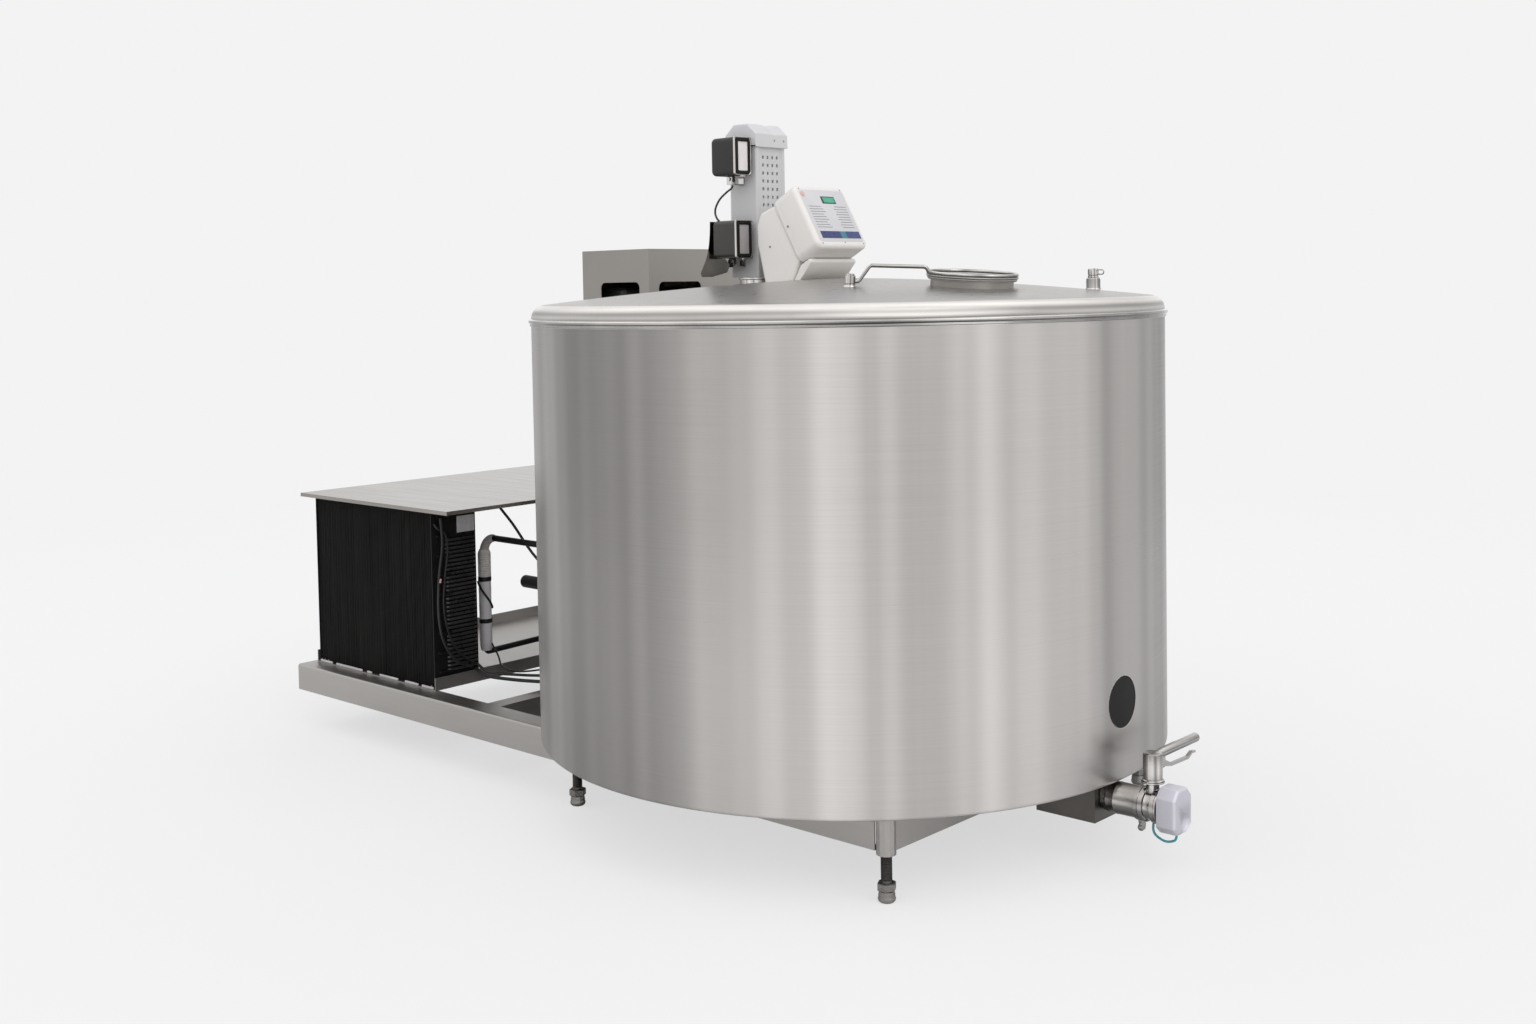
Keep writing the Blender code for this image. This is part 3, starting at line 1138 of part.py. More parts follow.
def make_valve():
    """Butterfly valve: body with its index plate, disc and stem, handle and trigger."""
    half = VALVE_LENGTH / 2
    flange = 0.012
    shape = bmesh.new()
    turned(shape, [(BORE_RADIUS, VALVE_START), (VALVE_RADIUS, VALVE_START), (VALVE_RADIUS, VALVE_START + flange),
                   (VALVE_WAIST, VALVE_START + flange + 0.003), (VALVE_WAIST, VALVE_END - flange - 0.003),
                   (VALVE_RADIUS, VALVE_END - flange), (VALVE_RADIUS, VALVE_END), (BORE_RADIUS, VALVE_END)],
           VALVE_SIDES, (0, 0, OUTLET_Z), "X")
    body = finished("valve_body", shape, POLISHED)
    neck = bmesh.new()
    root = OUTLET_Z + (BORE_RADIUS + VALVE_WAIST) / 2
    turned(neck, disc_profile([(NECK_OF_VALVE, root), (NECK_OF_VALVE, VALVE_NECK_TOP - INDEX_THICK),
                               (INDEX_RADIUS, VALVE_NECK_TOP - INDEX_THICK), (INDEX_RADIUS, VALVE_NECK_TOP)]), 16,
           (VALVE_X, 0, 0))
    cut(body, "valve_neck", neck, operation="UNION")
    stem_hole = bmesh.new()
    turned(stem_hole, disc(STEM_RADIUS + RUNNING_GAP, OUTLET_Z, VALVE_NECK_TOP + 0.01), 12, (VALVE_X, 0, 0))
    cut(body, "valve_stem_hole", stem_hole)

    pivot = (VALVE_X, 0.0, OUTLET_Z)
    shape = bmesh.new()
    reach = BORE_RADIUS * math.cos(math.pi / VALVE_SIDES) - RUNNING_GAP
    turned(shape, disc(reach, VALVE_X - DISC_THICK / 2, VALVE_X + DISC_THICK / 2), VALVE_SIDES, (0, 0, OUTLET_Z), "X")
    plate = finished("valve_disc", shape, POLISHED, pivot=pivot)
    stem = bmesh.new()
    turned(stem, disc(STEM_RADIUS, OUTLET_Z - reach * 0.86, HUB_TOP - 0.012), 12, (VALVE_X, 0, 0))
    cut(plate, "valve_stem", stem, operation="UNION")

    low = VALVE_NECK_TOP + GAP
    shape = bmesh.new()
    turned(shape, [(STEM_RADIUS + GAP, low), (HUB_RADIUS + 0.003, low), (HUB_RADIUS + 0.003, low + 0.006),
                   (HUB_RADIUS, low + 0.010), (HUB_RADIUS, HUB_TOP - 0.003), (HUB_RADIUS - 0.003, HUB_TOP),
                   (0.0, HUB_TOP), (0.0, HUB_TOP - 0.012 + GAP), (STEM_RADIUS + GAP, HUB_TOP - 0.012 + GAP)], 16,
           (VALVE_X, 0, 0))
    handle = finished("valve_handle", shape, POLISHED, pivot=pivot)
    cheeks = bmesh.new()
    slot = TRIGGER_THICK / 2 + RUNNING_GAP
    for way in (-1, 1):
        outline = rounded([(HUB_RADIUS * 0.70, GRIP_Z + 0.006), (HUB_RADIUS * 0.70, TRIGGER_PIVOT_Z - 0.010),
                           (TRIGGER_PIVOT_Y + 0.008, TRIGGER_PIVOT_Z - 0.010),
                           (TRIGGER_PIVOT_Y + 0.008, GRIP_Z + 0.006)], 0.004, 2)
        inner = VALVE_X + way * slot
        prism(cheeks, outline, "X", min(inner, inner + way * 0.004), max(inner, inner + way * 0.004))
    cut(handle, "handle_cheeks", cheeks, operation="UNION")
    eye = bmesh.new()
    turned(eye, disc(PIN_RADIUS, VALVE_X - slot - 0.003, VALVE_X + slot + 0.003), 10,
           (0, TRIGGER_PIVOT_Y, TRIGGER_PIVOT_Z), "X")
    cut(handle, "handle_pin", eye, operation="UNION")
    grip = bmesh.new()
    turned(grip, [(0.0, HUB_RADIUS * 0.5), (GRIP_RADIUS * 0.8, HUB_RADIUS * 0.5), (GRIP_RADIUS, GRIP_START),
                  (GRIP_RADIUS, GRIP_END - 0.004), (GRIP_RADIUS - 0.004, GRIP_END), (0.0, GRIP_END)], 12,
           (VALVE_X, 0, GRIP_Z), "Y")
    cut(handle, "handle_grip", grip, operation="UNION")

    turn_at = (VALVE_X, TRIGGER_PIVOT_Y, TRIGGER_PIVOT_Z)
    top = [(TRIGGER_PIVOT_Y + 0.012, TRIGGER_PIVOT_Z + 0.006), (TRIGGER_PIVOT_Y + 0.050, TRIGGER_PIVOT_Z - 0.011),
           (TRIGGER_REACH - 0.040, TRIGGER_PIVOT_Z - 0.013), (TRIGGER_REACH - 0.018, TRIGGER_PIVOT_Z - 0.004),
           (TRIGGER_REACH, TRIGGER_PIVOT_Z - 0.006)]
    bottom = [(TRIGGER_REACH - 0.002, TRIGGER_PIVOT_Z - 0.011), (TRIGGER_REACH - 0.018, TRIGGER_PIVOT_Z - 0.010),
              (TRIGGER_REACH - 0.038, TRIGGER_PIVOT_Z - 0.020), (TRIGGER_PIVOT_Y + 0.048, TRIGGER_PIVOT_Z - 0.018),
              (TRIGGER_PIVOT_Y + 0.004, TRIGGER_PIVOT_Z - 0.009), (TRIGGER_PIVOT_Y - 0.008, TRIGGER_PIVOT_Z - 0.004),
              (TRIGGER_PIVOT_Y - 0.007, TRIGGER_PIVOT_Z + 0.007)]
    shape = bmesh.new()
    prism(shape, top + bottom, "X", VALVE_X - TRIGGER_THICK / 2, VALVE_X + TRIGGER_THICK / 2)
    trigger = finished("valve_trigger", shape, POLISHED, pivot=turn_at)
    eye = bmesh.new()
    turned(eye, disc(PIN_RADIUS + GAP, VALVE_X - 0.02, VALVE_X + 0.02), 10, (0, TRIGGER_PIVOT_Y, TRIGGER_PIVOT_Z), "X")
    cut(trigger, "trigger_eye", eye)


def make_outlet_cap():
    """Plastic dust cap over the stub, eight sided with a thumb scoop, and its retaining cord."""
    ring = [(CAP_RADIUS * math.cos(math.tau * (k + 0.5) / CAP_SIDES) * 0.97,
             OUTLET_Z + CAP_RADIUS * math.sin(math.tau * (k + 0.5) / CAP_SIDES)) for k in range(CAP_SIDES)]
    shape = bmesh.new()
    prism(shape, rounded(ring, 0.018, 2), "X", CAP_START, CAP_END)
    rim = [e for e in shape.edges if all(abs(v.co.x - CAP_END) < 1e-6 for v in e.verts)]
    bmesh.ops.bevel(shape, geom=rim, offset=0.009, segments=2, profile=0.5, affect="EDGES", clamp_overlap=True)
    cap = finished("outlet_cap", shape, CAP_GREY, pivot=(CAP_START, 0, OUTLET_Z))
    pocket = bmesh.new()
    turned(pocket, disc(STUB_RADIUS + GAP, CAP_START - 0.01, CAP_START + CAP_POCKET), VALVE_SIDES, (0, 0, OUTLET_Z), "X")
    cut(cap, "cap_pocket", pocket)
    scoop = bmesh.new()
    bmesh.ops.create_uvsphere(scoop, u_segments=14, v_segments=8, radius=0.030,
                              matrix=Matrix.Translation((CAP_END + 0.018, 0.014, OUTLET_Z - 0.036)))
    cut(cap, "cap_scoop", scoop)
    low = OUTLET_Z - VALVE_RADIUS
    cap_low = OUTLET_Z - CAP_RADIUS * math.cos(math.pi / CAP_SIDES)
    route = [(VALVE_X + 0.001, 0, low - CORD_DIAMETER / 2), (VALVE_X + 0.001, 0, low - 0.020),
             (VALVE_X + 0.010, 0, cap_low - 0.020), (VALVE_X + 0.034, 0, cap_low - 0.028),
             (CAP_END - 0.026, 0, cap_low - 0.021), (CAP_END - 0.020, 0, cap_low - 0.008),
             (CAP_END - 0.020, 0, cap_low - GAP)]
    cord("cap_cord", route, CORD_DIAMETER, CORD_TEAL)


def make_unit():
    """Base pan with the lid's posts, and the folded lid over it."""
    t = PAN_SHEET
    low = FRAME_TOP + GAP
    shape = bmesh.new()
    box(shape, (PAN_BACK, PAN_LEFT, low), (PAN_FRONT, PAN_RIGHT, low + PAN_EDGE))
    pan = finished("unit_base_pan", shape, BLACK_PAINT)
    room = bmesh.new()
    box(room, (PAN_BACK + t, PAN_LEFT - 0.01, low + t), (PAN_FRONT - t, PAN_RIGHT - t, low + PAN_EDGE + 0.01))
    cut(pan, "pan_room", room)

    posts = bmesh.new()
    s = FRAME_SHEET
    for x, way in ((PAN_BACK + t / 2, 1), (PAN_FRONT - t / 2, -1)):
        y = PAN_RIGHT - t / 2
        outline = [(x, y), (x + way * LID_POST, y), (x + way * LID_POST, y - s), (x + way * s, y - s),
                   (x + way * s, y - LID_POST), (x, y - LID_POST)]
        prism(posts, outline, "Z", low + t / 2, LID_UNDER - GAP)
    cut(pan, "pan_posts", posts, operation="UNION")

    shape = bmesh.new()
    prism(shape, lid_outline(0.0), "Z", LID_TOP - LID_EDGE, LID_TOP)
    lid = finished("unit_lid", shape, BRUSHED)
    room = bmesh.new()
    prism(room, lid_outline(LID_SHEET), "Z", LID_TOP - LID_EDGE - 0.01, LID_UNDER)
    cut(lid, "lid_room", room)


def lid_outline(inset):
    """The lid's plan: it reaches past the cabinet's back, and is cut away for the cabinet."""
    back, front, nose = LID_BACK + inset, LID_FRONT - inset, LID_FRONT + LID_LEDGE - inset
    half, notch = LID_HALF_WIDTH - inset, CABINET_LEFT - LID_CLEAR - inset
    return [(back, -half), (nose, -half), (nose, notch), (front, notch), (front, half), (back, half)]


def make_condenser():
    """Casing with the fan's mouth and the tubes' return bends, and the fin block in it."""
    low, high = CONDENSER_BOTTOM, CONDENSER_TOP
    left, right = CONDENSER_LEFT, CONDENSER_RIGHT
    t = END_PLATE
    shape = bmesh.new()
    box(shape, (CONDENSER_BACK, left, low), (CONDENSER_FRONT, right, high))
    casing = finished("condenser_casing", shape, BLACK_PAINT)
    room = bmesh.new()
    box(room, (CONDENSER_BACK + t, left - 0.01, low + t), (CONDENSER_FRONT - t, right - t, high - t))
    cut(casing, "casing_room", room)
    centre = fan_centre()
    mouth = bmesh.new()
    turned(mouth, disc(FAN_RADIUS + FAN_TIP_GAP, right - 0.02, right + 0.02), 28, (centre[0], 0, centre[2]), "Y")
    cut(casing, "casing_mouth", mouth)
    bends = bmesh.new()
    lowest = PAN_TOP + PAN_EDGE + 0.010
    pitch = (high - 0.030 - lowest) / (BEND_COUNT - 1)
    face = CONDENSER_FRONT - t / 2
    out = CONDENSER_FRONT + BEND_REACH
    for bend in range(BEND_COUNT):
        z = lowest + bend * pitch
        sweep(bends, [(face, left + 0.020, z), (out, left + 0.020, z), (out, left + 0.065, z), (face, left + 0.065, z)],
              BEND_RADIUS, 6)
    cut(casing, "casing_bends", bends, operation="UNION")

    first = CONDENSER_BACK + t + GAP
    last = CONDENSER_FRONT - t - GAP
    count = int((last - first - FIN_THICK) / FIN_PITCH) + 1
    step = (last - first - FIN_THICK) / (count - 1)
    root = left + FIN_DEPTH
    comb = []
    for fin in range(count):
        x = first + fin * step
        comb += [(x, root), (x, left + 0.004), (x + FIN_THICK, left + 0.004), (x + FIN_THICK, root)]
    comb[0] = (first, root + FIN_CORE)
    comb[-1] = (last, root + FIN_CORE)
    shape = bmesh.new()
    prism(shape, comb, "Z", low + t + GAP, high - t - GAP)
    finished("condenser_fins", shape, BLACK_PAINT)


def fan_centre():
    """The middle of the fan's mouth in the shroud."""
    return ((CONDENSER_BACK + CONDENSER_FRONT) / 2, CONDENSER_RIGHT - 0.012, (CONDENSER_BOTTOM + CONDENSER_TOP) / 2)


def make_fan():
    """Five pitched blades on a hub, and the motor on two flat bars across the shroud."""
    x, y, z = fan_centre()
    shape = bmesh.new()
    turned(shape, disc(FAN_HUB, -0.014, 0.014), 20, (x, y, z), "Y")
    fan = finished("fan_blades", shape, LAMP_BLACK, pivot=(x, y, z))
    for blade in range(FAN_BLADES):
        vane = bmesh.new()
        outline = [(FAN_HUB - 0.006, -0.016), (FAN_RADIUS * 0.6, -0.050), (FAN_RADIUS * 0.96, -0.050),
                   (FAN_RADIUS, 0.0), (FAN_RADIUS * 0.92, 0.045), (FAN_RADIUS * 0.55, 0.040), (FAN_HUB - 0.006, 0.016)]
        prism(vane, outline, "Y", -FAN_SHEET / 2, FAN_SHEET / 2)
        pitch = Matrix.Rotation(FAN_PITCH * 0.55, 4, "X")
        spin = Matrix.Rotation(math.tau * blade / FAN_BLADES, 4, "Y")
        bmesh.ops.transform(vane, matrix=Matrix.Translation((x, y, z)) @ spin @ pitch, verts=vane.verts)
        cut(fan, "fan_vane_%d" % blade, vane, operation="UNION")

    shape = bmesh.new()
    start = 0.014 + RUNNING_GAP
    turned(shape, disc_profile([(0.008, start), (0.008, start + 0.022), (FAN_MOTOR_RADIUS, start + 0.022),
                                (FAN_MOTOR_RADIUS, start + FAN_MOTOR_LENGTH),
                                (FAN_MOTOR_RADIUS - 0.006, start + FAN_MOTOR_LENGTH + 0.006)]), 16, (x, y, z), "Y")
    motor = finished("fan_motor", shape, LAMP_BLACK, pivot=(x, y, z))
    bars = bmesh.new()
    face = CONDENSER_RIGHT + GAP
    reach = FAN_RADIUS + FAN_TIP_GAP + 0.020
    plane = y + start + 0.040
    for height in (z - FAN_MOTOR_RADIUS * 0.6, z + FAN_MOTOR_RADIUS * 0.6):
        low, high = height - FAN_BAR / 2, height + FAN_BAR / 2
        outline = [(x - reach, face), (x - reach + 0.030, face), (x - reach + 0.060, plane), (x + reach - 0.060, plane),
                   (x + reach - 0.030, face), (x + reach, face), (x + reach, face + 0.003),
                   (x + reach - 0.029, face + 0.003), (x + reach - 0.059, plane + 0.003),
                   (x - reach + 0.059, plane + 0.003), (x - reach + 0.029, face + 0.003), (x - reach, face + 0.003)]
        prism(bars, outline, "Z", low, high)
    cut(motor, "motor_bars", bars, operation="UNION")


def make_refrigeration():
    """Compressor, the wrapped suction line and the drier on its liquid line."""
    x, y = COMPRESSOR_X, COMPRESSOR_Y
    low = PAN_TOP + GAP
    r, h, t = COMPRESSOR_RADIUS, COMPRESSOR_HEIGHT, COMPRESSOR_WALL
    port = 0.012
    outer = [(r * 0.5, low), (r, low + 0.050), (r, low + h * 0.52), (r + 0.006, low + h * 0.52),
             (r + 0.006, low + h * 0.56), (r, low + h * 0.56), (r, low + h * 0.78), (r * 0.82, low + h * 0.93),
             (r * 0.45, low + h), (port, low + h)]
    inner = [(port, low + h - t), (r * 0.42, low + h - t), (r - t, low + h * 0.76), (r - t, low + 0.054),
             (r * 0.4, low + 0.020), (0.0, low + 0.020)]
    shape = bmesh.new()
    turned(shape, [(0.0, low)] + outer + inner, 16, (x, y, 0))
    finished("compressor", shape, BLACK_PAINT)

    wall = -TANK_RADIUS + 0.060
    to_pump = Vector((x - SUCTION_X, y - SUCTION_Y))
    stop = to_pump.normalized() * (to_pump.length - r - 0.005)
    shape = bmesh.new()
    path = bent([(wall, SUCTION_Y, SUCTION_HIGH), (SUCTION_X, SUCTION_Y, SUCTION_HIGH),
                 (SUCTION_X, SUCTION_Y, SUCTION_LOW), (SUCTION_X + stop.x, SUCTION_Y + stop.y, SUCTION_LOW)], 0.055, 4)
    sweep(shape, path, SUCTION_RADIUS, 12)
    line = finished("suction_line", shape, WRAP_WHITE)
    meet_shell(line, "suction_line_end")

    shape = bmesh.new()
    mid_z = DRIER_Z
    turned(shape, disc_profile([(0.010, DRIER_START), (DRIER_RADIUS, DRIER_START + 0.014),
                                (DRIER_RADIUS, DRIER_END - 0.014), (LIQUID_RADIUS, DRIER_END),
                                (LIQUID_RADIUS, wall)]), 14, (0, DRIER_Y, mid_z), "X")
    drier = finished("filter_drier", shape, LAMP_BLACK)
    meet_shell(drier, "filter_drier_end")


def meet_shell(target, name):
    """Trim a line's end to the tank's outer face."""
    tank = bmesh.new()
    turned(tank, disc(TANK_RADIUS + GAP / math.cos(math.pi / TANK_SIDES), FRAME_TOP, SHELL_TOP), TANK_SIDES)
    cut(target, name, tank)


def make_cables():
    """The fan's cable down the condenser's side, and the sensor's from the lid to the tank."""
    side = CONDENSER_FRONT + BEND_REACH + BEND_RADIUS + GAP + CABLE_DIAMETER / 2
    cord("fan_cable", [(side, -0.505, 0.745), (side, -0.500, 0.660), (side, -0.515, 0.560), (side, -0.520, 0.450),
                       (side, -0.505, 0.360), (side, -0.460, 0.290), (side + 0.004, -0.400, 0.262)],
         CABLE_DIAMETER, CABLE_BLACK)
    flat = math.pi / TANK_SIDES
    wall = -TANK_RADIUS + SENSOR_Y * math.tan(flat) - GAP - CABLE_DIAMETER / 2 * math.sin(flat)
    cord("sensor_cable", [(-1.330, -0.200, LID_UNDER - GAP - 0.001), (-1.330, -0.200, LID_UNDER - 0.030),
                          (-1.290, -0.170, 0.680), (-1.230, -0.120, 0.564), (-1.110, -0.050, 0.440),
                          (-0.980, 0.035, 0.400), (-0.910, SENSOR_Y, 0.395), (wall, SENSOR_Y, 0.395)],
         CABLE_DIAMETER, CABLE_BLACK)


def make_cabinet():
    """Stainless wash cabinet with rounded windows, and the dosing pumps behind them."""
    low = FRAME_TOP + GAP
    t = CABINET_SHEET
    shape = bmesh.new()
    box(shape, (CABINET_BACK, CABINET_LEFT, low), (CABINET_FRONT, CABINET_RIGHT, CABINET_TOP))
    cabinet = finished("wash_cabinet", shape, BRUSHED)
    room = bmesh.new()
    box(room, (CABINET_BACK + t, CABINET_LEFT + t, low - 0.01), (CABINET_FRONT - t, CABINET_RIGHT - t, CABINET_TOP - t))
    cut(cabinet, "cabinet_room", room)
    bottom = WINDOW_TOP - WINDOW_HEIGHT
    side = bmesh.new()
    prism(side, rounded(rectangle(CABINET_BACK + 2 * WINDOW_EDGE, bottom, CABINET_FRONT - WINDOW_EDGE, WINDOW_TOP),
                        WINDOW_ROUND, 3), "Y", CABINET_LEFT - 0.01, CABINET_LEFT + 0.01)
    cut(cabinet, "cabinet_side_window", side)
    front = bmesh.new()
    prism(front, rounded(rectangle(CABINET_LEFT + WINDOW_EDGE, bottom, CABINET_LEFT + WINDOW_EDGE + FRONT_WINDOW_WIDTH, WINDOW_TOP),
                         WINDOW_ROUND, 3), "X", CABINET_FRONT - 0.01, CABINET_FRONT + 0.01)
    cut(cabinet, "cabinet_front_window", front)

    shape = bmesh.new()
    wall = CABINET_BACK + t + GAP
    board = CABINET_LEFT + PUMP_BOARD_INSET
    box(shape, (wall, board, WINDOW_TOP - PUMP_BOARD_HEIGHT), (wall + PUMP_BOARD, board + PUMP_BOARD_WIDTH, WINDOW_TOP))
    pumps = finished("dosing_pumps", shape, LAMP_BLACK)
    for place in (0, 1):
        y = board + PUMP_INSET + place * PUMP_PITCH
        top = WINDOW_TOP - PUMP_DROP
        case = bmesh.new()
        soft_box(case, (wall + PUMP_BOARD / 2, y, top - PUMP_HEIGHT), (wall + PUMP_DEPTH, y + PUMP_WIDTH, top),
                 PUMP_ROUND, 3, "-X")
        cut(pumps, "pump_case_%d" % place, case, operation="UNION")


MANHOLE = bpy.data.objects.new("manhole_frame", None)
manhole_reach = math.hypot(MANHOLE_X, MANHOLE_Y)
manhole_way = math.atan2(MANHOLE_Y, MANHOLE_X)
lean_out = Matrix.Rotation(manhole_way, 4, "Z") @ Matrix.Rotation(roof_slope(manhole_reach), 4, "Y")
placed("manhole_frame", MANHOLE, MACHINE, (MANHOLE_X, MANHOLE_Y, roof_height(manhole_reach)))
MANHOLE.rotation_euler = lean_out.to_euler()
manhole_place = Matrix.Translation((MANHOLE_X, MANHOLE_Y, roof_height(manhole_reach))) @ lean_out
post_on_roof = Vector((POST_X, POST_Y, roof_height(math.hypot(POST_X, POST_Y))))
POST_LOCAL = tuple(manhole_place.inverted() @ post_on_roof)

make_frame()
make_feet()
make_tank()
make_manhole()
make_measuring_rod()
make_agitator()
make_column()
make_lamps()
make_control_box()
make_outlet()
make_valve()
make_outlet_cap()
make_unit()
make_condenser()
make_fan()
make_refrigeration()
make_cables()
make_cabinet()
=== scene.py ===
"""A bulk milk cooler dressed over its CAD model: an upright steel tank on a folded frame, with a
condensing unit at its back, a drive column and control box on its roof and a butterfly outlet valve
at its front. Places are given in metres from the tank's axis, +X to the outlet and +Z up."""

import math

import bmesh
import bpy
import numpy as np
from mathutils import Matrix, Vector


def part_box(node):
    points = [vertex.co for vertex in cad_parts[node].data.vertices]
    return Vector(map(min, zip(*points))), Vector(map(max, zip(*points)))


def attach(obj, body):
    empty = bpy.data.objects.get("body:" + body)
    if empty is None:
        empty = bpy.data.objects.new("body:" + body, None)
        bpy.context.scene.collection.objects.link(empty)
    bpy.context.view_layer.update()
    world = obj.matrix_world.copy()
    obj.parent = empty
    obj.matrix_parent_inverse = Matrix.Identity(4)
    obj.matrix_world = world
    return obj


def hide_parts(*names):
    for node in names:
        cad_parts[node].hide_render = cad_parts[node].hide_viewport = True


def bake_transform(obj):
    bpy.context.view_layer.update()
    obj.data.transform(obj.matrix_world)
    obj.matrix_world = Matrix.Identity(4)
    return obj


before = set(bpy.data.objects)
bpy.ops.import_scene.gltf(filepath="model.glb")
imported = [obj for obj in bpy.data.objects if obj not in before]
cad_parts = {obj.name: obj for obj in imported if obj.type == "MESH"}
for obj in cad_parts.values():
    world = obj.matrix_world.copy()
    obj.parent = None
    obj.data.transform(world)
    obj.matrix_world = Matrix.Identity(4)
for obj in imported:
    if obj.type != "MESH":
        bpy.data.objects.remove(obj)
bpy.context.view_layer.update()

# The tank's axis in the shared frame: every place below is measured from it.
tank_low, tank_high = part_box("tank_shell")
AXIS = Vector(((tank_low.x + tank_high.x) / 2, 0.0, 0.0))


# Camera: a 38 mm lens 4.6 m from the tank's axis, a little above its rim. The frame of the picture is
# moved down by a tenth of its width, so that the lens looks almost level and upright edges stay parallel.
def linked(name, data):
    """A new object of the scene that holds the data."""
    made = bpy.data.objects.new(name, data)
    bpy.context.scene.collection.objects.link(made)
    return made


eye = AXIS + Vector((2.920, -3.525, 1.443))
ahead = Vector((-0.6733, 0.7378, -0.0472)).normalized()
right = ahead.cross(Vector((0, 0, 1))).normalized()
above = right.cross(ahead)
roll = math.radians(-1.004)
right, above = (right * math.cos(roll) + above * math.sin(roll),
                above * math.cos(roll) - right * math.sin(roll))
camera = linked("camera", bpy.data.cameras.new("camera"))
turn = Matrix((right, above, -ahead)).transposed()
camera.matrix_world = Matrix.Translation(eye) @ turn.to_4x4()
camera.data.sensor_width = 36.0
camera.data.lens = 38.05
camera.data.shift_y = -0.0958
camera.data.clip_end = 200.0
bpy.context.scene.camera = camera


# Frame: two long folded channel rails and four cross members in satin stainless sheet, welded at the
# corners, with thick sockets for the feet. The sheet keeps its mill grain along its length.
def srgb(code):
    """Linear colour of a written sRGB colour: each share v becomes ((v + 0.055) / 1.055) ** 2.4,
    or v / 12.92 where it is below 0.04045."""
    shares = [int(code[i:i + 2], 16) / 255 for i in (1, 3, 5)]
    return tuple(v / 12.92 if v <= 0.04045 else ((v + 0.055) / 1.055) ** 2.4 for v in shares)


def wire(tree, kind, inputs=None, **settings):
    """A node with its settings. An input is a number or colour, or another node's output."""
    made = tree.nodes.new(kind)
    for key, value in settings.items():
        setattr(made, key, value)
    for key, value in (inputs or {}).items():
        if isinstance(value, bpy.types.NodeSocket):
            tree.links.new(value, made.inputs[key])
        else:
            made.inputs[key].default_value = value
    return made


def combined(tree, operation, one, two, **settings):
    """Two values put together by one operation of the maths node."""
    return wire(tree, "ShaderNodeMath", {0: one, 1: two}, operation=operation, **settings).outputs[0]


def noise_field(tree, stretch, detail=4.0, rough=0.55):
    """Noise over the object's own coordinates. The stretch is the number of waves per metre, one for
    each axis or the same for all."""
    stretch = stretch if isinstance(stretch, tuple) else (stretch,) * 3
    place = wire(tree, "ShaderNodeTexCoord").outputs["Object"]
    place = wire(tree, "ShaderNodeMapping", {"Vector": place, "Scale": stretch}).outputs["Vector"]
    return wire(tree, "ShaderNodeTexNoise", {"Vector": place, "Scale": 1.0, "Detail": detail,
                                             "Roughness": rough}).outputs["Fac"]


def scaled(tree, value, low, high, start=0.3, end=0.7):
    """A value moved from one range to another: low + (high - low) (v - start) / (end - start)."""
    return wire(tree, "ShaderNodeMapRange", {"Value": value, "From Min": start, "From Max": end,
                                             "To Min": low, "To Max": high}).outputs["Result"]


def finish(name, colour, roughness, metallic=0.0, grain=60, grain_tone=0.04, patch=3,
           patch_tone=0.04, gloss_tone=0.06, dent=0.0, dent_height=0.0002, fixed=None, extra=None):
    """A worked surface. Its colour is colour * (1 + fine grain) * (1 + broad patches), and both also
    move its roughness. dent is the strength of the bump that follows the grain."""
    made = bpy.data.materials.new(name)
    made.use_nodes = True
    tree = made.node_tree
    shader = tree.nodes["Principled BSDF"]
    fine = noise_field(tree, grain)
    broad = noise_field(tree, patch, 3.0)
    tone = combined(tree, "MULTIPLY", scaled(tree, fine, 1 - grain_tone, 1 + grain_tone),
                    scaled(tree, broad, 1 - patch_tone, 1 + patch_tone))
    if extra is not None:
        tone = combined(tree, "MULTIPLY", tone, extra(tree))
    body = wire(tree, "ShaderNodeVectorMath", {0: srgb(colour), "Scale": tone}, operation="SCALE")
    tree.links.new(body.outputs["Vector"], shader.inputs["Base Color"])
    gloss = combined(tree, "ADD", scaled(tree, fine, -gloss_tone, gloss_tone),
                     scaled(tree, broad, roughness - gloss_tone / 2, roughness + gloss_tone / 2),
                     use_clamp=True)
    tree.links.new(gloss, shader.inputs["Roughness"])
    if dent:
        bump = wire(tree, "ShaderNodeBump", {"Height": fine, "Strength": dent, "Distance": dent_height})
        tree.links.new(bump.outputs["Normal"], shader.inputs["Normal"])
    shader.inputs["Metallic"].default_value = metallic
    for socket, value in (fixed or {}).items():
        shader.inputs[socket].default_value = value
    return made


def dress(material, *nodes):
    """Give CAD nodes a finish in place of their plain one."""
    for node in nodes:
        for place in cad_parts[node].material_slots:
            place.material = material


def faces_of(rows, columns, close_rows, close_columns):
    """Corners of the faces of a grid of points counted row by row: each joins point (r, c) to its
    neighbours (r, c + 1), (r + 1, c + 1) and (r + 1, c), and a closed way joins its last to its first."""
    r = np.arange(rows if close_rows else rows - 1)[:, None]
    c = np.arange(columns if close_columns else columns - 1)[None, :]
    below, beside = (r + 1) % rows, (c + 1) % columns
    return np.stack([r * columns + c, r * columns + beside, below * columns + beside, below * columns + c],
                    axis=-1).reshape(-1, 4)


def weld(mesh, fill=False):
    """Join the points of a mesh that are within two thousandths of a millimetre, close its open ends
    where asked, and turn its faces outwards."""
    shape = bmesh.new()
    shape.from_mesh(mesh)
    bmesh.ops.remove_doubles(shape, verts=shape.verts, dist=2e-6)
    if fill:
        bmesh.ops.holes_fill(shape, edges=[e for e in shape.edges if e.is_boundary], sides=0)
    bmesh.ops.recalc_face_normals(shape, faces=shape.faces)
    shape.to_mesh(mesh)
    shape.free()


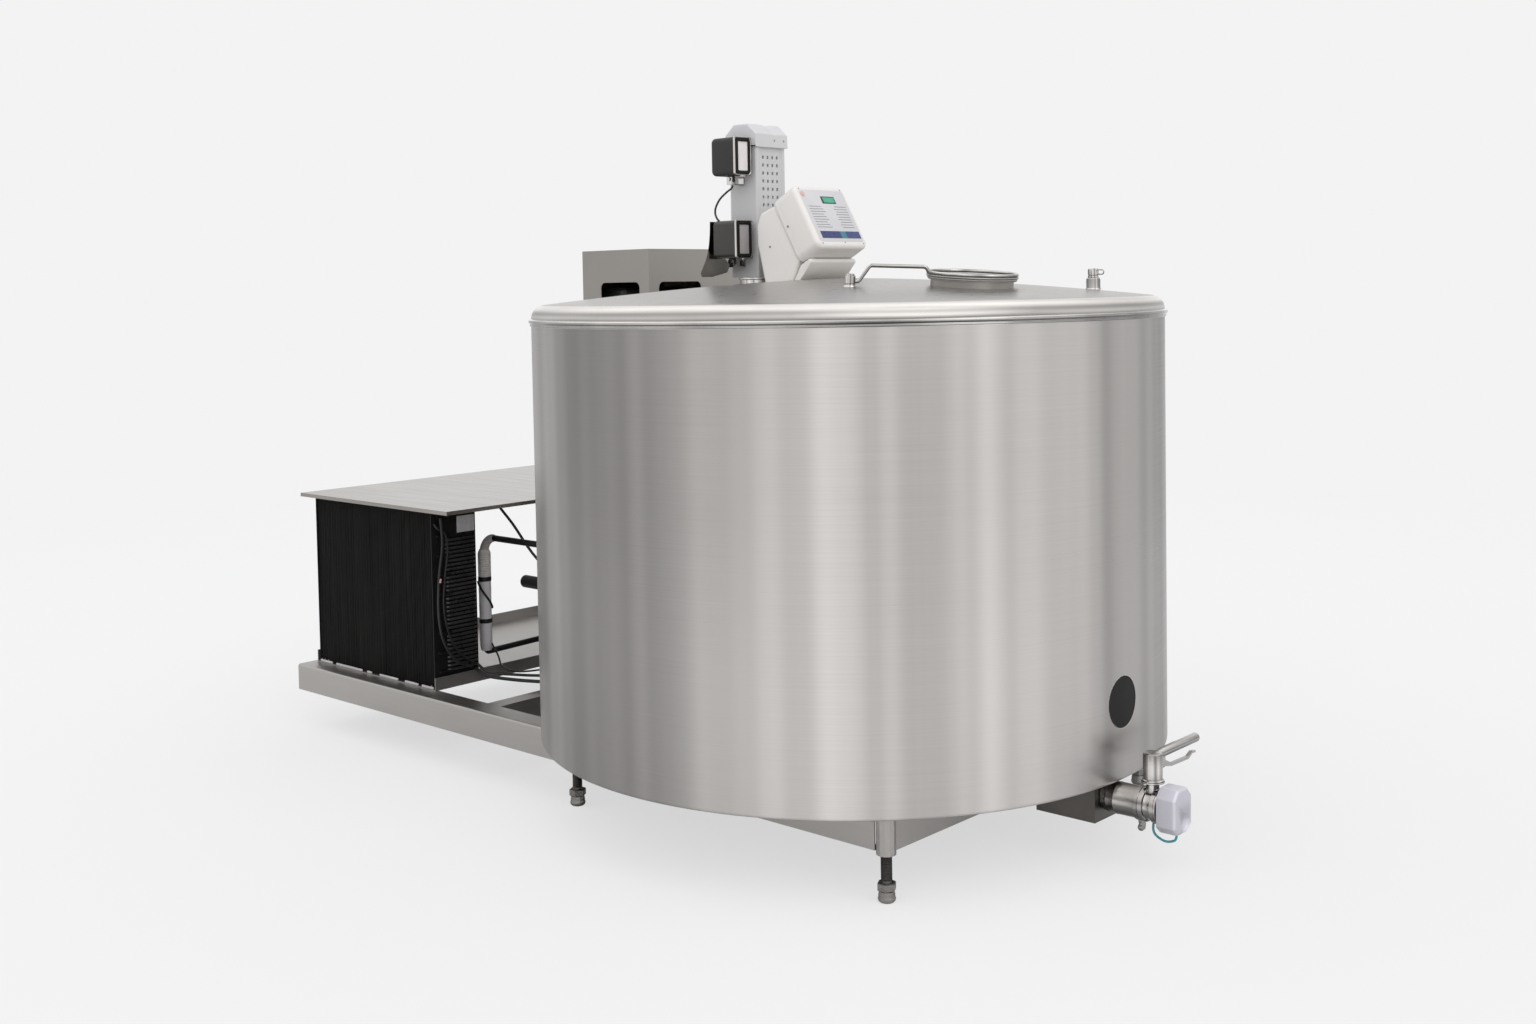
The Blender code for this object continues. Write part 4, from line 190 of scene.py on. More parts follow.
def show(name, parts, material, body, instead_of=(), sharp=35.0):
    """One object from grids of points (grid, close_rows, close_columns, capped). A capped grid gets a
    flat face on its first and last row. The points are measured from the tank's axis."""
    points, faces, count = [], [], 0
    for grid, close_rows, close_columns, capped in parts:
        rows, columns = grid.shape[:2]
        points.append(grid.reshape(-1, 3))
        faces += (faces_of(rows, columns, close_rows, close_columns) + count).tolist()
        if capped:
            faces += [list(range(count, count + columns)),
                      list(range(count + (rows - 1) * columns, count + rows * columns))]
        count += rows * columns
    mesh = bpy.data.meshes.new(name)
    mesh.from_pydata((np.concatenate(points) + np.array(AXIS)).tolist(), [], faces)
    weld(mesh)
    mesh.shade_smooth()
    mesh.set_sharp_from_angle(angle=math.radians(sharp))
    mesh.materials.append(material)
    made = linked(name, mesh)
    if body:
        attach(made, body)
    if instead_of:
        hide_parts(*instead_of)
    return made


def moved(grid, place):
    """A grid of points carried by a matrix."""
    place = np.array(place)
    return grid @ place[:3, :3].T + place[:3, 3]


def lathe(profile, centre=(0, 0, 0), axis="Z", sides=48, place=None):
    """A profile of (radius, height) turned round an axis: a point is (r cos a, r sin a, h). Returns a
    grid with a row for each profile point. place is a matrix applied before the centre is added."""
    profile = np.array(profile, float)
    angle = np.linspace(0, math.tau, sides, endpoint=False)
    r, h = profile[:, :1], profile[:, 1:] + 0 * angle
    a, b = r * np.cos(angle), r * np.sin(angle)
    grid = {"Z": np.stack([a, b, h], -1), "X": np.stack([h, a, b], -1), "Y": np.stack([b, h, a], -1)}[axis]
    if place is not None:
        grid = moved(grid, place)
    on_axis = abs(profile[0, 0]) < 1e-9 and abs(profile[-1, 0]) < 1e-9
    return grid + np.array(centre, float), not on_axis, True, False


def arc(centre, radius, start, end, steps):
    """Points of an arc: centre + radius (cos t, sin t), with t from start to end in degrees."""
    t = np.radians(np.linspace(start, end, steps + 1))
    return np.stack([centre[0] + radius * np.cos(t), centre[1] + radius * np.sin(t)], -1).tolist()


satin = finish("satin_frame_sheet", "#ABA8A5", 0.40, 1.0, grain=(5, 300, 300), grain_tone=0.05,
               patch=(1.5, 4, 6), patch_tone=0.06, gloss_tone=0.07, dent=0.10, dent_height=0.0001)
dress(satin, "rail_left", "rail_right", "cross_member_front")
cross_satin = finish("satin_member_sheet", "#ABA8A5", 0.40, 1.0, grain=(300, 5, 300), grain_tone=0.05,
                     patch=(4, 1.5, 6), patch_tone=0.06, gloss_tone=0.07, dent=0.10, dent_height=0.0001)
dress(cross_satin, "cross_member_end", "cross_member_middle", "cross_member_rear")


# Feet: dark turned spindles with a coarse rolled thread, a hexagon to turn them by and a domed pad.
# They screw into the frame's sockets from below.
dark_steel = finish("dark_spindle_steel", "#5E5C5A", 0.34, 1.0, grain=(90, 90, 900), grain_tone=0.12,
                    patch_tone=0.12, gloss_tone=0.10, dent=0.15)
bright_pad = finish("turned_pad_steel", "#8D8A87", 0.30, 1.0, grain=(60, 60, 800), grain_tone=0.10,
                    patch=20, patch_tone=0.15, gloss_tone=0.10, dent=0.12)
thread = np.arange(0.052, 0.113, 0.0035)
thread = np.stack([np.stack([0 * thread + 0.0118, thread], -1),
                   np.stack([0 * thread + 0.0137, thread + 0.0013], -1),
                   np.stack([0 * thread + 0.0137, thread + 0.0020], -1)], 1).reshape(-1, 2).tolist()
for foot, x, y in (("foot_front_left", 0.585, -0.585), ("foot_front_right", 0.585, 0.585),
                   ("foot_rear_left", -0.528, -0.572), ("foot_rear_right", -0.528, 0.572)):
    pad = [(0.0, 0.0), (0.0120, 0.0)] + arc((0.0125, 0.009), 0.009, -80, 30, 6)
    pad += [(0.0200, 0.020), (0.0185, 0.027), (0.0150, 0.0285), (0.0, 0.0285)]
    hexagon = [(0.0, 0.0280), (0.0205, 0.0280), (0.0236, 0.0300), (0.0236, 0.0460), (0.0205, 0.0480),
               (0.0, 0.0480)]
    spindle = [(0.0, 0.046), (0.0135, 0.046), (0.0118, 0.050)] + thread
    spindle += [(0.0135, 0.1145), (0.0135, 0.150), (0.0, 0.150)]
    show(foot + "_pad", [lathe(pad, (x, y, 0), sides=40), lathe(hexagon, (x, y, 0), sides=6)], bright_pad,
         "base")
    show(foot + "_spindle", [lathe(spindle, (x, y, 0), sides=32)], dark_steel, "base", [foot])


# Tank: a drum of brushed stainless sheet with its grain running round it. Soft upright bands of painted
# reflection lie in its colour, and the wall turns in to the floor with a small radius.
def painted_reflection_bands(tree):
    """Painted reflection: soft upright bands of light and shade round the wall. The turn a round the axis,
    atan2(y, x), runs from 0 to 1 along a ramp of a few broad tones, and noise that hardly changes with height
    lays narrow painted streaks over them."""
    place = wire(tree, "ShaderNodeTexCoord").outputs["Object"]
    x, y, _ = wire(tree, "ShaderNodeSeparateXYZ", {0: place}).outputs
    along = combined(tree, "SUBTRACT", x, AXIS.x)
    turn = combined(tree, "ARCTAN2", y, along)
    waver = scaled(tree, noise_field(tree, (6.0, 6.0, 0.5), 2.0), -0.012, 0.012)
    share = scaled(tree, combined(tree, "ADD", turn, waver), 0.0, 1.0, -math.pi, math.pi)
    ramp = wire(tree, "ShaderNodeValToRGB", {"Fac": share})
    ramp.color_ramp.interpolation = "EASE"
    stops = ramp.color_ramp.elements
    tones = [(-180, 0.5), (-85, 0.35), (-70, 0.65), (-46, 0.8), (-40, 0.6), (-34, 0.8), (0, 0.5), (15, 0.4),
             (60, 0.7), (120, 0.7), (180, 0.5)]
    stops[0].position, stops[1].position = 0.0, 1.0
    for angle, tone in tones[1:-1]:
        stops.new((angle + 180) / 360)
    for stop, (angle, tone) in zip(stops, tones):
        stop.color = (tone, tone, tone, 1.0)
    narrow_painted_streaks = scaled(tree, noise_field(tree, (9.0, 9.0, 0.05), 1.0), 0.82, 1.18)
    return combined(tree, "MULTIPLY", ramp.outputs["Color"], narrow_painted_streaks)


def grain_round(material):
    """Stretch a finish's highlights across a grain that runs round the tank's axis."""
    tree = material.node_tree
    around = wire(tree, "ShaderNodeTangent", direction_type="RADIAL", axis="Z")
    tree.links.new(around.outputs["Tangent"], tree.nodes["Principled BSDF"].inputs["Tangent"])


DRUM_RADIUS = 0.875
# The tank sheet's colour carries the painted reflection bands.
tank_sheet = finish("brushed_tank_sheet", "#E9E5E2", 0.34, 1.0, grain=(2.5, 2.5, 420), grain_tone=0.035,
                    patch=(1.2, 1.2, 2.0), patch_tone=0.02, gloss_tone=0.05, dent=0.06, dent_height=0.0001,
                    fixed={"Anisotropic": 0.55}, extra=painted_reflection_bands)
grain_round(tank_sheet)
wall = [(0.0, 0.2053)] + arc((0.865, 0.2153), 0.010, -90, 0, 8) + [(DRUM_RADIUS, 1.360), (0.8725, 1.360)]
wall += arc((0.865, 0.2153), 0.0075, 0, -90, 6) + [(0.0, 0.2078)]
show("tank_wall", [lathe(wall, sides=240)], tank_sheet, "base", ["tank_shell"])


# Port plug: a round black rubber bung flush in the front wall, over the hole for a thermometer. Its
# face follows the drum, and its rim is pressed a little under the sheet's cut edge.
rubber = finish("matt_black_rubber", "#171716", 0.62, grain=500, grain_tone=0.18, patch=20,
                patch_tone=0.15, dent=0.35, dent_height=0.0003, fixed={"Specular IOR Level": 0.2})
PORT_HEIGHT = 0.403
spread = np.array([0.0, 0.02, 0.045, 0.058, 0.0625, 0.0640, 0.0650, 0.0650])[:, None]
proud = np.array([0.0006, 0.0006, 0.0006, 0.0006, 0.0006, 0.0012, 0.0004, -0.010])[:, None]
angle = np.linspace(0, math.tau, 96, endpoint=False)
across, up = spread * np.cos(angle) / DRUM_RADIUS, PORT_HEIGHT + spread * np.sin(angle)
plug = np.stack([(DRUM_RADIUS + proud) * np.cos(across), (DRUM_RADIUS + proud) * np.sin(across), up], -1)
show("port_bung", [(plug, False, True, False)], rubber, "base", ["port_plug"])
cut_edge = finish("cut_sheet_edge", "#C9C6C2", 0.25, 1.0, grain=200, grain_tone=0.2)
t = np.linspace(0, math.tau, 10, endpoint=False)[:, None]
ring = 0.0655 + 0.0008 * np.cos(t)
across, up = ring * np.cos(angle) / DRUM_RADIUS, PORT_HEIGHT + ring * np.sin(angle)
lift = 0.8752 + 0.0005 * np.sin(t) + 0 * angle
edge = np.stack([lift * np.cos(across), lift * np.sin(across), up], -1)
show("port_edge", [(edge, True, True, False)], cut_edge, "base")


# Roof: a shallow dome spun from one disc, with a rolled shoulder and a short skirt that stands on the
# drum's edge. It is pierced for the manhole, the drive's spigot and the measuring rod.
DOME_TOP, DOME_FALL, DOME_REACH, DOME_POWER = 1.467, 0.05998, 0.84163, 1.6
MANHOLE_PLACE, ROD_PLACE, SPIGOT_PLACE = (0.505, -0.100), (0.605, 0.325, 0), (-0.320, 0, 0)
MANHOLE_REACH, ROD_REACH = math.hypot(*MANHOLE_PLACE), math.hypot(*ROD_PLACE[:2])


def roof_height(radius):
    """Height of the dome: its top less its fall times (r / its reach) ** its power."""
    return DOME_TOP - DOME_FALL * (np.abs(radius) / DOME_REACH) ** DOME_POWER


def drilled(made, cutters):
    """Cut closed shapes out of a piece and keep the result as its mesh."""
    for grid, close_rows, close_columns, _ in cutters:
        mesh = bpy.data.meshes.new("tool")
        rows, columns = grid.shape[:2]
        faces = faces_of(rows, columns, close_rows, close_columns).tolist()
        mesh.from_pydata((grid.reshape(-1, 3) + np.array(AXIS)).tolist(), [], faces)
        weld(mesh, fill=True)
        tool = linked("tool", mesh)
        step = made.modifiers.new("hole", "BOOLEAN")
        step.object, step.operation, step.solver = tool, "DIFFERENCE", "EXACT"
        bpy.context.view_layer.update()
        result = made.evaluated_get(bpy.context.evaluated_depsgraph_get())
        cut = bpy.data.meshes.new_from_object(result)
        made.modifiers.clear()
        made.data = cut
        bpy.data.objects.remove(tool)


# Tones of painted reflection: sky, skyline and ground by the upward share of a normal, and a wall's panels
# along a slant.
SKY_REFLECTION_TONES = ((-1.0, 0.26), (-0.6, 0.20), (-0.25, 0.40), (0.0, 1.0), (0.22, 0.50), (0.5, 1.0), (1.0, 0.90))
WALL_REFLECTION_TONES = ((-1.0, 0.40), (-0.6, 0.94), (-0.25, 1.0), (0.05, 0.42), (0.35, 1.0), (0.7, 0.55), (1.0, 0.4))


def painted_facing_reflection(tree, upward=SKY_REFLECTION_TONES, level=WALL_REFLECTION_TONES):
    """Painted reflection on a polished surface, by the way it faces. The upward share of its normal picks a
    tone of sky, skyline and ground, and the share along a slanting level line picks one of a wall's panels."""
    facing = wire(tree, "ShaderNodeTexCoord").outputs["Normal"]
    tones = []
    for way, stops in (((0.0, 0.0, 1.0), upward), ((0.74, 0.67, 0.0), level)):
        share = wire(tree, "ShaderNodeVectorMath", {0: facing, 1: way},
                     operation="DOT_PRODUCT").outputs["Value"]
        picked = wire(tree, "ShaderNodeValToRGB", {"Fac": scaled(tree, share, 0.0, 1.0, -1.0, 1.0)})
        ramp = picked.color_ramp
        ramp.interpolation = "EASE"
        for place, _ in stops[1:-1]:
            ramp.elements.new((place + 1) / 2)
        for stop, (_, tone) in zip(ramp.elements, stops):
            stop.color = (tone, tone, tone, 1.0)
        tones.append(picked.outputs["Color"])
    return combined(tree, "MULTIPLY", *tones)


def roof_painted_highlight(tree):
    """Painted highlight on the roof: an even tone on the dome, with a bright line painted where its shoulder
    turns over.
    """
    return painted_facing_reflection(tree, ((-1.0, 0.5), (0.0, 0.65), (0.18, 1.10), (0.42, 0.70), (0.75, 1.75), (0.93, 1.55),
                         (0.985, 0.84), (0.997, 0.80), (1.0, 0.92)), ((-1.0, 0.97), (1.0, 1.0)))


# The roof sheet, also used for the manhole lid, carries this painted highlight.
roof_sheet = finish("spun_roof_sheet", "#BEBBB8", 0.30, 1.0, grain=26, grain_tone=0.015,
                    patch=2.2, patch_tone=0.05, gloss_tone=0.03, fixed={"Anisotropic": 0.45}, extra=roof_painted_highlight)
grain_round(roof_sheet)
reach = np.linspace(0.8416, 0.0, 40)
under = reach[::-1][:-4]
dome = [(DRUM_RADIUS, 1.3603)] + arc((0.837, 1.3693), 0.038, 0, 83, 14)
dome += np.stack([reach, roof_height(reach)], -1)[1:].tolist()
dome += np.stack([under, roof_height(under) - 0.003], -1).tolist()
dome += arc((0.837, 1.3693), 0.035, 80, 0, 8) + [(0.872, 1.3603)]
roof = show("domed_roof", [lathe(dome, sides=240)], roof_sheet, "base", ["tank_roof"])
slope = math.atan(DOME_FALL * DOME_POWER / DOME_REACH * (MANHOLE_REACH / DOME_REACH) ** (DOME_POWER - 1))
MANHOLE = (Matrix.Translation((*MANHOLE_PLACE, float(roof_height(MANHOLE_REACH))))
           @ Matrix.Rotation(math.atan2(MANHOLE_PLACE[1], MANHOLE_PLACE[0]), 4, "Z")
           @ Matrix.Rotation(slope, 4, "Y"))
hole = [(0.0, -0.06), (0.1063, -0.06), (0.1063, 0.06), (0.0, 0.06)]
drilled(roof, [lathe(hole, sides=96, place=MANHOLE),
               lathe([(0.0, 1.38), (0.0603, 1.38), (0.0603, 1.52), (0.0, 1.52)], SPIGOT_PLACE, sides=64),
               lathe([(0.0, 1.30), (0.0193, 1.30), (0.0193, 1.50), (0.0, 1.50)], ROD_PLACE, sides=40)])


# Rim band: a rolled stainless band 20 mm high that covers the joint between drum and roof. It is rolled
# to a bead above and to a small lip along its foot.
# Polished steel: its colour carries painted reflection by the way it faces.
bright = finish("polished_steel", "#E2DFDC", 0.16, 1.0, grain=45, grain_tone=0.02, patch=14,
                patch_tone=0.06, gloss_tone=0.05, extra=painted_facing_reflection)
bead = arc((0.8765, 1.3630), 0.0062, -70, 90, 10) + [(0.8753, 1.3700), (0.8753, 1.3500), (0.8785, 1.3500)]
bead += arc((0.8770, 1.3528), 0.0024, -60, 40, 4)
show("rim_bead", [lathe(bead, sides=240)], bright, "base", ["rim_band"])


# Manhole: a welded neck with a grey silicone ring, and a dished cover that hangs on a bent rod. The rod
# ends in a ring welded along the cover's edge and swings on a short post.
def unit(vectors):
    """Vectors divided by their lengths."""
    return vectors / np.linalg.norm(vectors, axis=1, keepdims=True)


def tube(path, radius, sides=20, smooth=0):
    """A round rod along a path. Each point has a ring p + r (u cos a + v sin a), where u and v stand
    square to the path and are carried along it without twist."""
    path = np.array(path, float)
    if smooth:
        path = flowing(path, smooth)
    radius = np.broadcast_to(np.array(radius, float), len(path))
    tangent = unit(np.gradient(path, axis=0))
    u = np.zeros_like(path)
    start = np.cross(tangent[0], [0.0, 0.0, 1.0] if abs(tangent[0][2]) < 0.9 else [1.0, 0.0, 0.0])
    u[0] = start / np.linalg.norm(start)
    for i in range(1, len(path)):
        carried = u[i - 1] - tangent[i] * (u[i - 1] @ tangent[i])
        u[i] = carried / np.linalg.norm(carried)
    v = np.cross(tangent, u)
    angle = np.linspace(0, math.tau, sides, endpoint=False)[None, :, None]
    rings = radius[:, None, None] * (u[:, None] * np.cos(angle) + v[:, None] * np.sin(angle))
    return path[:, None] + rings, False, True, True


def flowing(points, pieces):
    """Points of a smooth curve through given ones: on each stretch b..c the curve is
    (2b + (c - a) t + (2a - 5b + 4c - d) t^2 + (3b - a - 3c + d) t^3) / 2."""
    p = np.concatenate([2 * points[:1] - points[1:2], points, 2 * points[-1:] - points[-2:-1]])
    a, b, c, d = (p[i:len(p) - 3 + i][:, None] for i in range(4))
    t = (np.arange(pieces) / pieces)[None, :, None]
    curve = 0.5 * (2 * b + (c - a) * t + (2 * a - 5 * b + 4 * c - d) * t ** 2
                   + (3 * b - a - 3 * c + d) * t ** 3)
    return np.concatenate([curve.reshape(-1, points.shape[1]), points[-1:]])


def corner_arc(before, corner, after, radius, steps):
    """Points of an arc that rounds a corner and is tangent to both legs. It starts radius / tan(a / 2)
    from the corner, where a is the angle between the legs, but never as far as half a leg."""
    one, two = before - corner, after - corner
    long_one, long_two = np.linalg.norm(one), np.linalg.norm(two)
    one, two = one / long_one, two / long_two
    half = math.acos(max(-1.0, min(1.0, float(one @ two)))) / 2
    run = min(radius / math.tan(half), long_one / 2.02, long_two / 2.02)
    real = run * math.tan(half)
    middle = corner + (one + two) / np.linalg.norm(one + two) * real / math.sin(half)
    share = np.linspace(0, 1, steps + 1)[:, None]
    leg = (corner + one * run - middle) * (1 - share) + (corner + two * run - middle) * share
    return list(middle + unit(leg) * real)


def bent(points, radius, steps=8):
    """A path whose inner corners are arcs of the radius."""
    points = np.array(points, float)
    path = [points[0]]
    for before, corner, after in zip(points, points[1:], points[2:]):
        path += corner_arc(before, corner, after, radius, steps)
    return np.array(path + [points[-1]])


neck = [(0.103, -0.022), (0.106, -0.022), (0.106, 0.0140)] + arc((0.1075, 0.0140), 0.0015, 180, 90, 3)
neck += [(0.1125, 0.0155)] + arc((0.1125, 0.0168), 0.0012, -90, 90, 6)
neck += [(0.1045, 0.0180)] + arc((0.1045, 0.0165), 0.0015, 90, 180, 3)
show("manhole_collar", [lathe(neck, sides=96, place=MANHOLE)], satin, "base",
     ["manhole_neck"])
seal = arc((0.1035, 0.0208), 0.0023, 90, 270, 8) + arc((0.1120, 0.0208), 0.0023, -90, 90, 8)
silicone = finish("clear_silicone", "#A8A6A2", 0.35, grain=300, grain_tone=0.06, patch=30, patch_tone=0.08)
show("manhole_seal", [lathe([(r + 0.0015, h) for r, h in seal], sides=96, place=MANHOLE)], silicone, "base",
     ["manhole_gasket"])
dish = [(0.0, 0.0236), (0.1165, 0.0236)] + arc((0.1165, 0.0256), 0.0018, -60, 90, 5) + [(0.0960, 0.0282)]
dish += arc((0.080, 0.0206), 0.0085, 60, 90, 4) + [(0.040, 0.0300), (0.0, 0.0304)]
show("manhole_lid", [lathe(dish, sides=96, place=MANHOLE)], roof_sheet, "cover",
     ["manhole_cover"])
# Pieces that rest on one another are kept apart by this clearance.
SEAT = 0.0003
WIRE, COVER_RADIUS, COVER_TOP = 0.0045, 0.118, 0.0276
POST_PLACE = (0.306, -0.349)
post = MANHOLE.inverted() @ Vector((*POST_PLACE, float(roof_height(math.hypot(*POST_PLACE)))))
span = math.hypot(post.x, post.y)
outward = np.array([post.x / span, post.y / span])
ring_level, ring_radius = COVER_TOP + SEAT + WIRE, COVER_RADIUS - WIRE


def over_cover(along, height):
    """A point above the line from the cover's middle to the post."""
    return [outward[0] * along, outward[1] * along, height]


t = np.linspace(0, math.tau, 16, endpoint=False)
rod_ring = np.stack([ring_radius + WIRE * np.cos(t), ring_level + WIRE * np.sin(t)], -1)
arm_top, hub_low, hub_high = post.z + 0.054, post.z + 0.0067, post.z + 0.0272
arm = bent([over_cover(ring_radius, ring_level), over_cover(ring_radius + 0.010, arm_top),
            over_cover(span - 0.050, arm_top), over_cover(span - 0.022, hub_low + 0.006),
            over_cover(span - 0.011, hub_low + 0.006)], 0.012)
grid, *ends = tube(arm, 0.0050)
arm_grid = (moved(grid, MANHOLE), *ends)
hub = [(0.0066, hub_low), (0.0130, hub_low), (0.0140, hub_low + 0.001), (0.0140, hub_high - 0.001),
       (0.0130, hub_high), (0.0066, hub_high)]
at_post = MANHOLE @ Matrix.Translation((post.x, post.y, 0))
show("cover_rod", [lathe(rod_ring, sides=96, place=MANHOLE), arm_grid, lathe(hub, sides=40, place=at_post)],
     bright, "cover", ["cover_arm"])
pillar = [(0.0, post.z + 0.001), (0.0175, post.z - 0.001), (0.0150, post.z + 0.0025),
          (0.0140, post.z + 0.0045), (0.0140, hub_low - SEAT), (0.006, hub_low - SEAT),
          (0.006, hub_high + SEAT), (0.0112, hub_high + SEAT), (0.0112, post.z + 0.031),
          (0.0100, post.z + 0.032), (0.0, post.z + 0.032)]
show("cover_post", [lathe(pillar, sides=40, place=at_post)], bright, "base",
     ["cover_hinge_post"])


# Measuring rod: a turned socket welded through the roof, and a grooved plug with a wire pull ring. The
# rod hangs from the plug into the milk.
rod_top = float(roof_height(ROD_REACH)) + 0.031
socket = [(0.0051, rod_top - 0.047), (0.0190, rod_top - 0.047), (0.0190, rod_top - 0.030),
          (0.0215, rod_top - 0.030), (0.0190, rod_top - 0.026), (0.0190, rod_top - 0.0035), (0.0175, rod_top),
          (0.0051, rod_top)]
show("rod_socket", [lathe(socket, ROD_PLACE, sides=48)], bright, "base", ["dipstick_socket"])
plug_low = rod_top + SEAT
knob = [(0.0, 0.300), (0.0045, 0.300), (0.0045, plug_low), (0.0135, plug_low), (0.0145, plug_low + 0.001),
        (0.0145, plug_low + 0.0060), (0.0135, plug_low + 0.0068), (0.0135, plug_low + 0.0078),
        (0.0145, plug_low + 0.0086), (0.0145, plug_low + 0.0235), (0.0120, plug_low + 0.0260),
        (0.0, plug_low + 0.0260)]
height = plug_low + 0.0161
loop = bent([(0.6165, 0.325, height - 0.006), (0.6375, 0.325, height - 0.006),
             (0.6375, 0.325, height + 0.006), (0.6165, 0.325, height + 0.006)], 0.0058)
show("measuring_rod_plug", [lathe(knob, ROD_PLACE, sides=48), tube(loop, 0.0018, 12)], bright,
     "measuring_rod", ["dipstick"])


# Inside: the milk vessel, its evaporator plate, the foam round them and the stirrer. They show only
# through the open manhole, and keep their CAD shapes.
vessel_sheet = finish("vessel_sheet", "#C4C2C0", 0.28, 1.0, grain=60, grain_tone=0.03, dent=0.04)
dress(vessel_sheet, "inner_vessel", "evaporator_plate", "agitator")
foam = finish("insulation_foam", "#D9C68C", 0.9, grain=300, grain_tone=0.1, dent=0.5, dent_height=0.001)
dress(foam, "tank_insulation")


# Drive column: a moulded grey housing round the gear motor, ribbed along the edges of its vented face,
# on a spigot through the roof. Four columns of square vents are punched in the face.
def inset(outline, distance):
    """A closed outline moved inwards. A point goes by distance (n1 + n2) / (1 + n1 . n2), where n1 and
    n2 are its two edges' inward normals, so each edge keeps its distance."""
    outline = np.array(outline, float)
    one, two = outline - np.roll(outline, 1, 0), np.roll(outline, -1, 0) - outline
    a, b = outline[:, 0], outline[:, 1]
    turn = np.sign((a * np.roll(b, -1) - np.roll(a, -1) * b).sum())
    n1 = unit(np.stack([-one[:, 1], one[:, 0]], -1)) * turn
    n2 = unit(np.stack([-two[:, 1], two[:, 0]], -1)) * turn
    return outline + distance * (n1 + n2) / (1 + (n1 * n2).sum(1, keepdims=True))


def rounded(points, radius, steps=6):
    """A closed outline with each corner an arc of the radius, or of its own radius."""
    points = np.array(points, float)
    radii = np.broadcast_to(np.array(radius, float), len(points))
    result = []
    for before, corner, after, size in zip(np.roll(points, 1, 0), points, np.roll(points, -1, 0), radii):
        result += corner_arc(before, corner, after, size, steps)
    return np.array(result)


def oblong(low_a, low_b, high_a, high_b, radius, steps=6):
    """A rounded rectangle."""
    return rounded([(low_a, low_b), (high_a, low_b), (high_a, high_b), (low_a, high_b)], radius, steps)


def pressed(outline, axis, start, end, edge=0.001, edge_end=None, steps=4, place=None, centre=(0, 0, 0)):
    """An outline pushed along an axis, with both rims rounded: at an angle t the section is inset by
    e (1 - sin t) and stands e (1 - cos t) in from its end."""
    edge_end = edge if edge_end is None else edge_end
    t = np.linspace(0, math.pi / 2, steps + 1)
    way = 1.0 if end > start else -1.0
    first, last = [(start, 0.0)], [(end, 0.0)]
    if edge:
        first = [(start + way * edge * (1 - math.cos(a)), edge * (1 - math.sin(a))) for a in t]
    if edge_end:
        last = [(end - way * edge_end * (1 - math.cos(a)), edge_end * (1 - math.sin(a))) for a in t[::-1]]
    rows = []
    for along, inward in first + last:
        flat = inset(outline, inward) if inward else np.array(outline, float)
        level = np.full(len(flat), along)
        a, b = flat[:, 0], flat[:, 1]
        rows.append(np.stack({"X": (level, a, b), "Y": (a, level, b), "Z": (a, b, level)}[axis], -1))
    grid = np.array(rows)
    if place is not None:
        grid = moved(grid, place)
    return grid + np.array(centre, float), False, True, True


grey_moulding = finish("grey_column_moulding", "#CBCBCD", 0.42, grain=700, grain_tone=0.02,
                       patch=(6, 6, 3), patch_tone=0.03, gloss_tone=0.05, dent=0.12, dent_height=0.0001)
x0, x1, half = -0.385, -0.271, 0.063
section = [(x0, -half), (x1 - 0.004, -half), (x1, -half + 0.004), (x1, -half + 0.013),
           (x1 - 0.004, -half + 0.016), (x1 - 0.004, half - 0.016), (x1, half - 0.013), (x1, half - 0.004),
           (x1 - 0.004, half), (x0, half)]
section = rounded(section, [0.016, 0.003, 0.003, 0.002, 0.002, 0.002, 0.002, 0.003, 0.003, 0.016], 5)
column = show("column_housing", [pressed(section, "Z", 1.4753, 1.851, 0.0)], grey_moulding, "base",
              ["drive_housing"])
y, z = np.meshgrid((np.arange(4) - 1.5) * 0.020, 1.823 - np.arange(7) * 0.023)
vents = [oblong(a - 0.0040, b - 0.0046, a + 0.0040, b + 0.0046, 0.0012, 3)
         for a, b in zip(y.ravel(), z.ravel())]
drilled(column, [pressed(vent, "X", x1 - 0.014, x1 + 0.004, 0.0) for vent in vents])
cap_moulding = finish("grey_cap_moulding", "#D4D4D6", 0.40, grain=700, grain_tone=0.02, patch=6,
                      patch_tone=0.03, gloss_tone=0.05, dent=0.10, dent_height=0.0001)
side = rounded([(-0.391, 1.8513), (-0.265, 1.8513), (-0.265, 1.8893), (-0.301, 1.9203), (-0.355, 1.9203),
                (-0.391, 1.8893)], [0.001, 0.001, 0.006, 0.010, 0.010, 0.012], 5)
t = np.linspace(0, math.pi / 2, 6)
ends = np.stack([0.069 - 0.005 * (1 - np.sin(t)), 0.005 * (1 - np.cos(t))], -1)
stations = [(-a, b) for a, b in ends] + [(a, b) for a, b in ends]
stations += [(a, 0.0) for a in np.linspace(-0.060, 0.060, 31)]
stations = sorted(set((round(a, 6), round(b, 6)) for a, b in stations))
rows = []
for along, inward in stations:
    flat = inset(side, inward) if inward else side.copy()
    saddle = 0.008 * math.exp(-((along - 0.014) / 0.011) ** 2)
    flat[:, 1] -= saddle * np.clip((flat[:, 1] - 1.880) / 0.040, 0, 1)
    rows.append(np.stack([flat[:, 0], np.full(len(flat), along), flat[:, 1]], -1))
show("column_cap", [(np.array(rows), False, True, True)], cap_moulding, "base",
     ["drive_housing_cap"])
screw_steel = finish("zinc_screw", "#8E8D8B", 0.35, 1.0, grain=900, grain_tone=0.1)


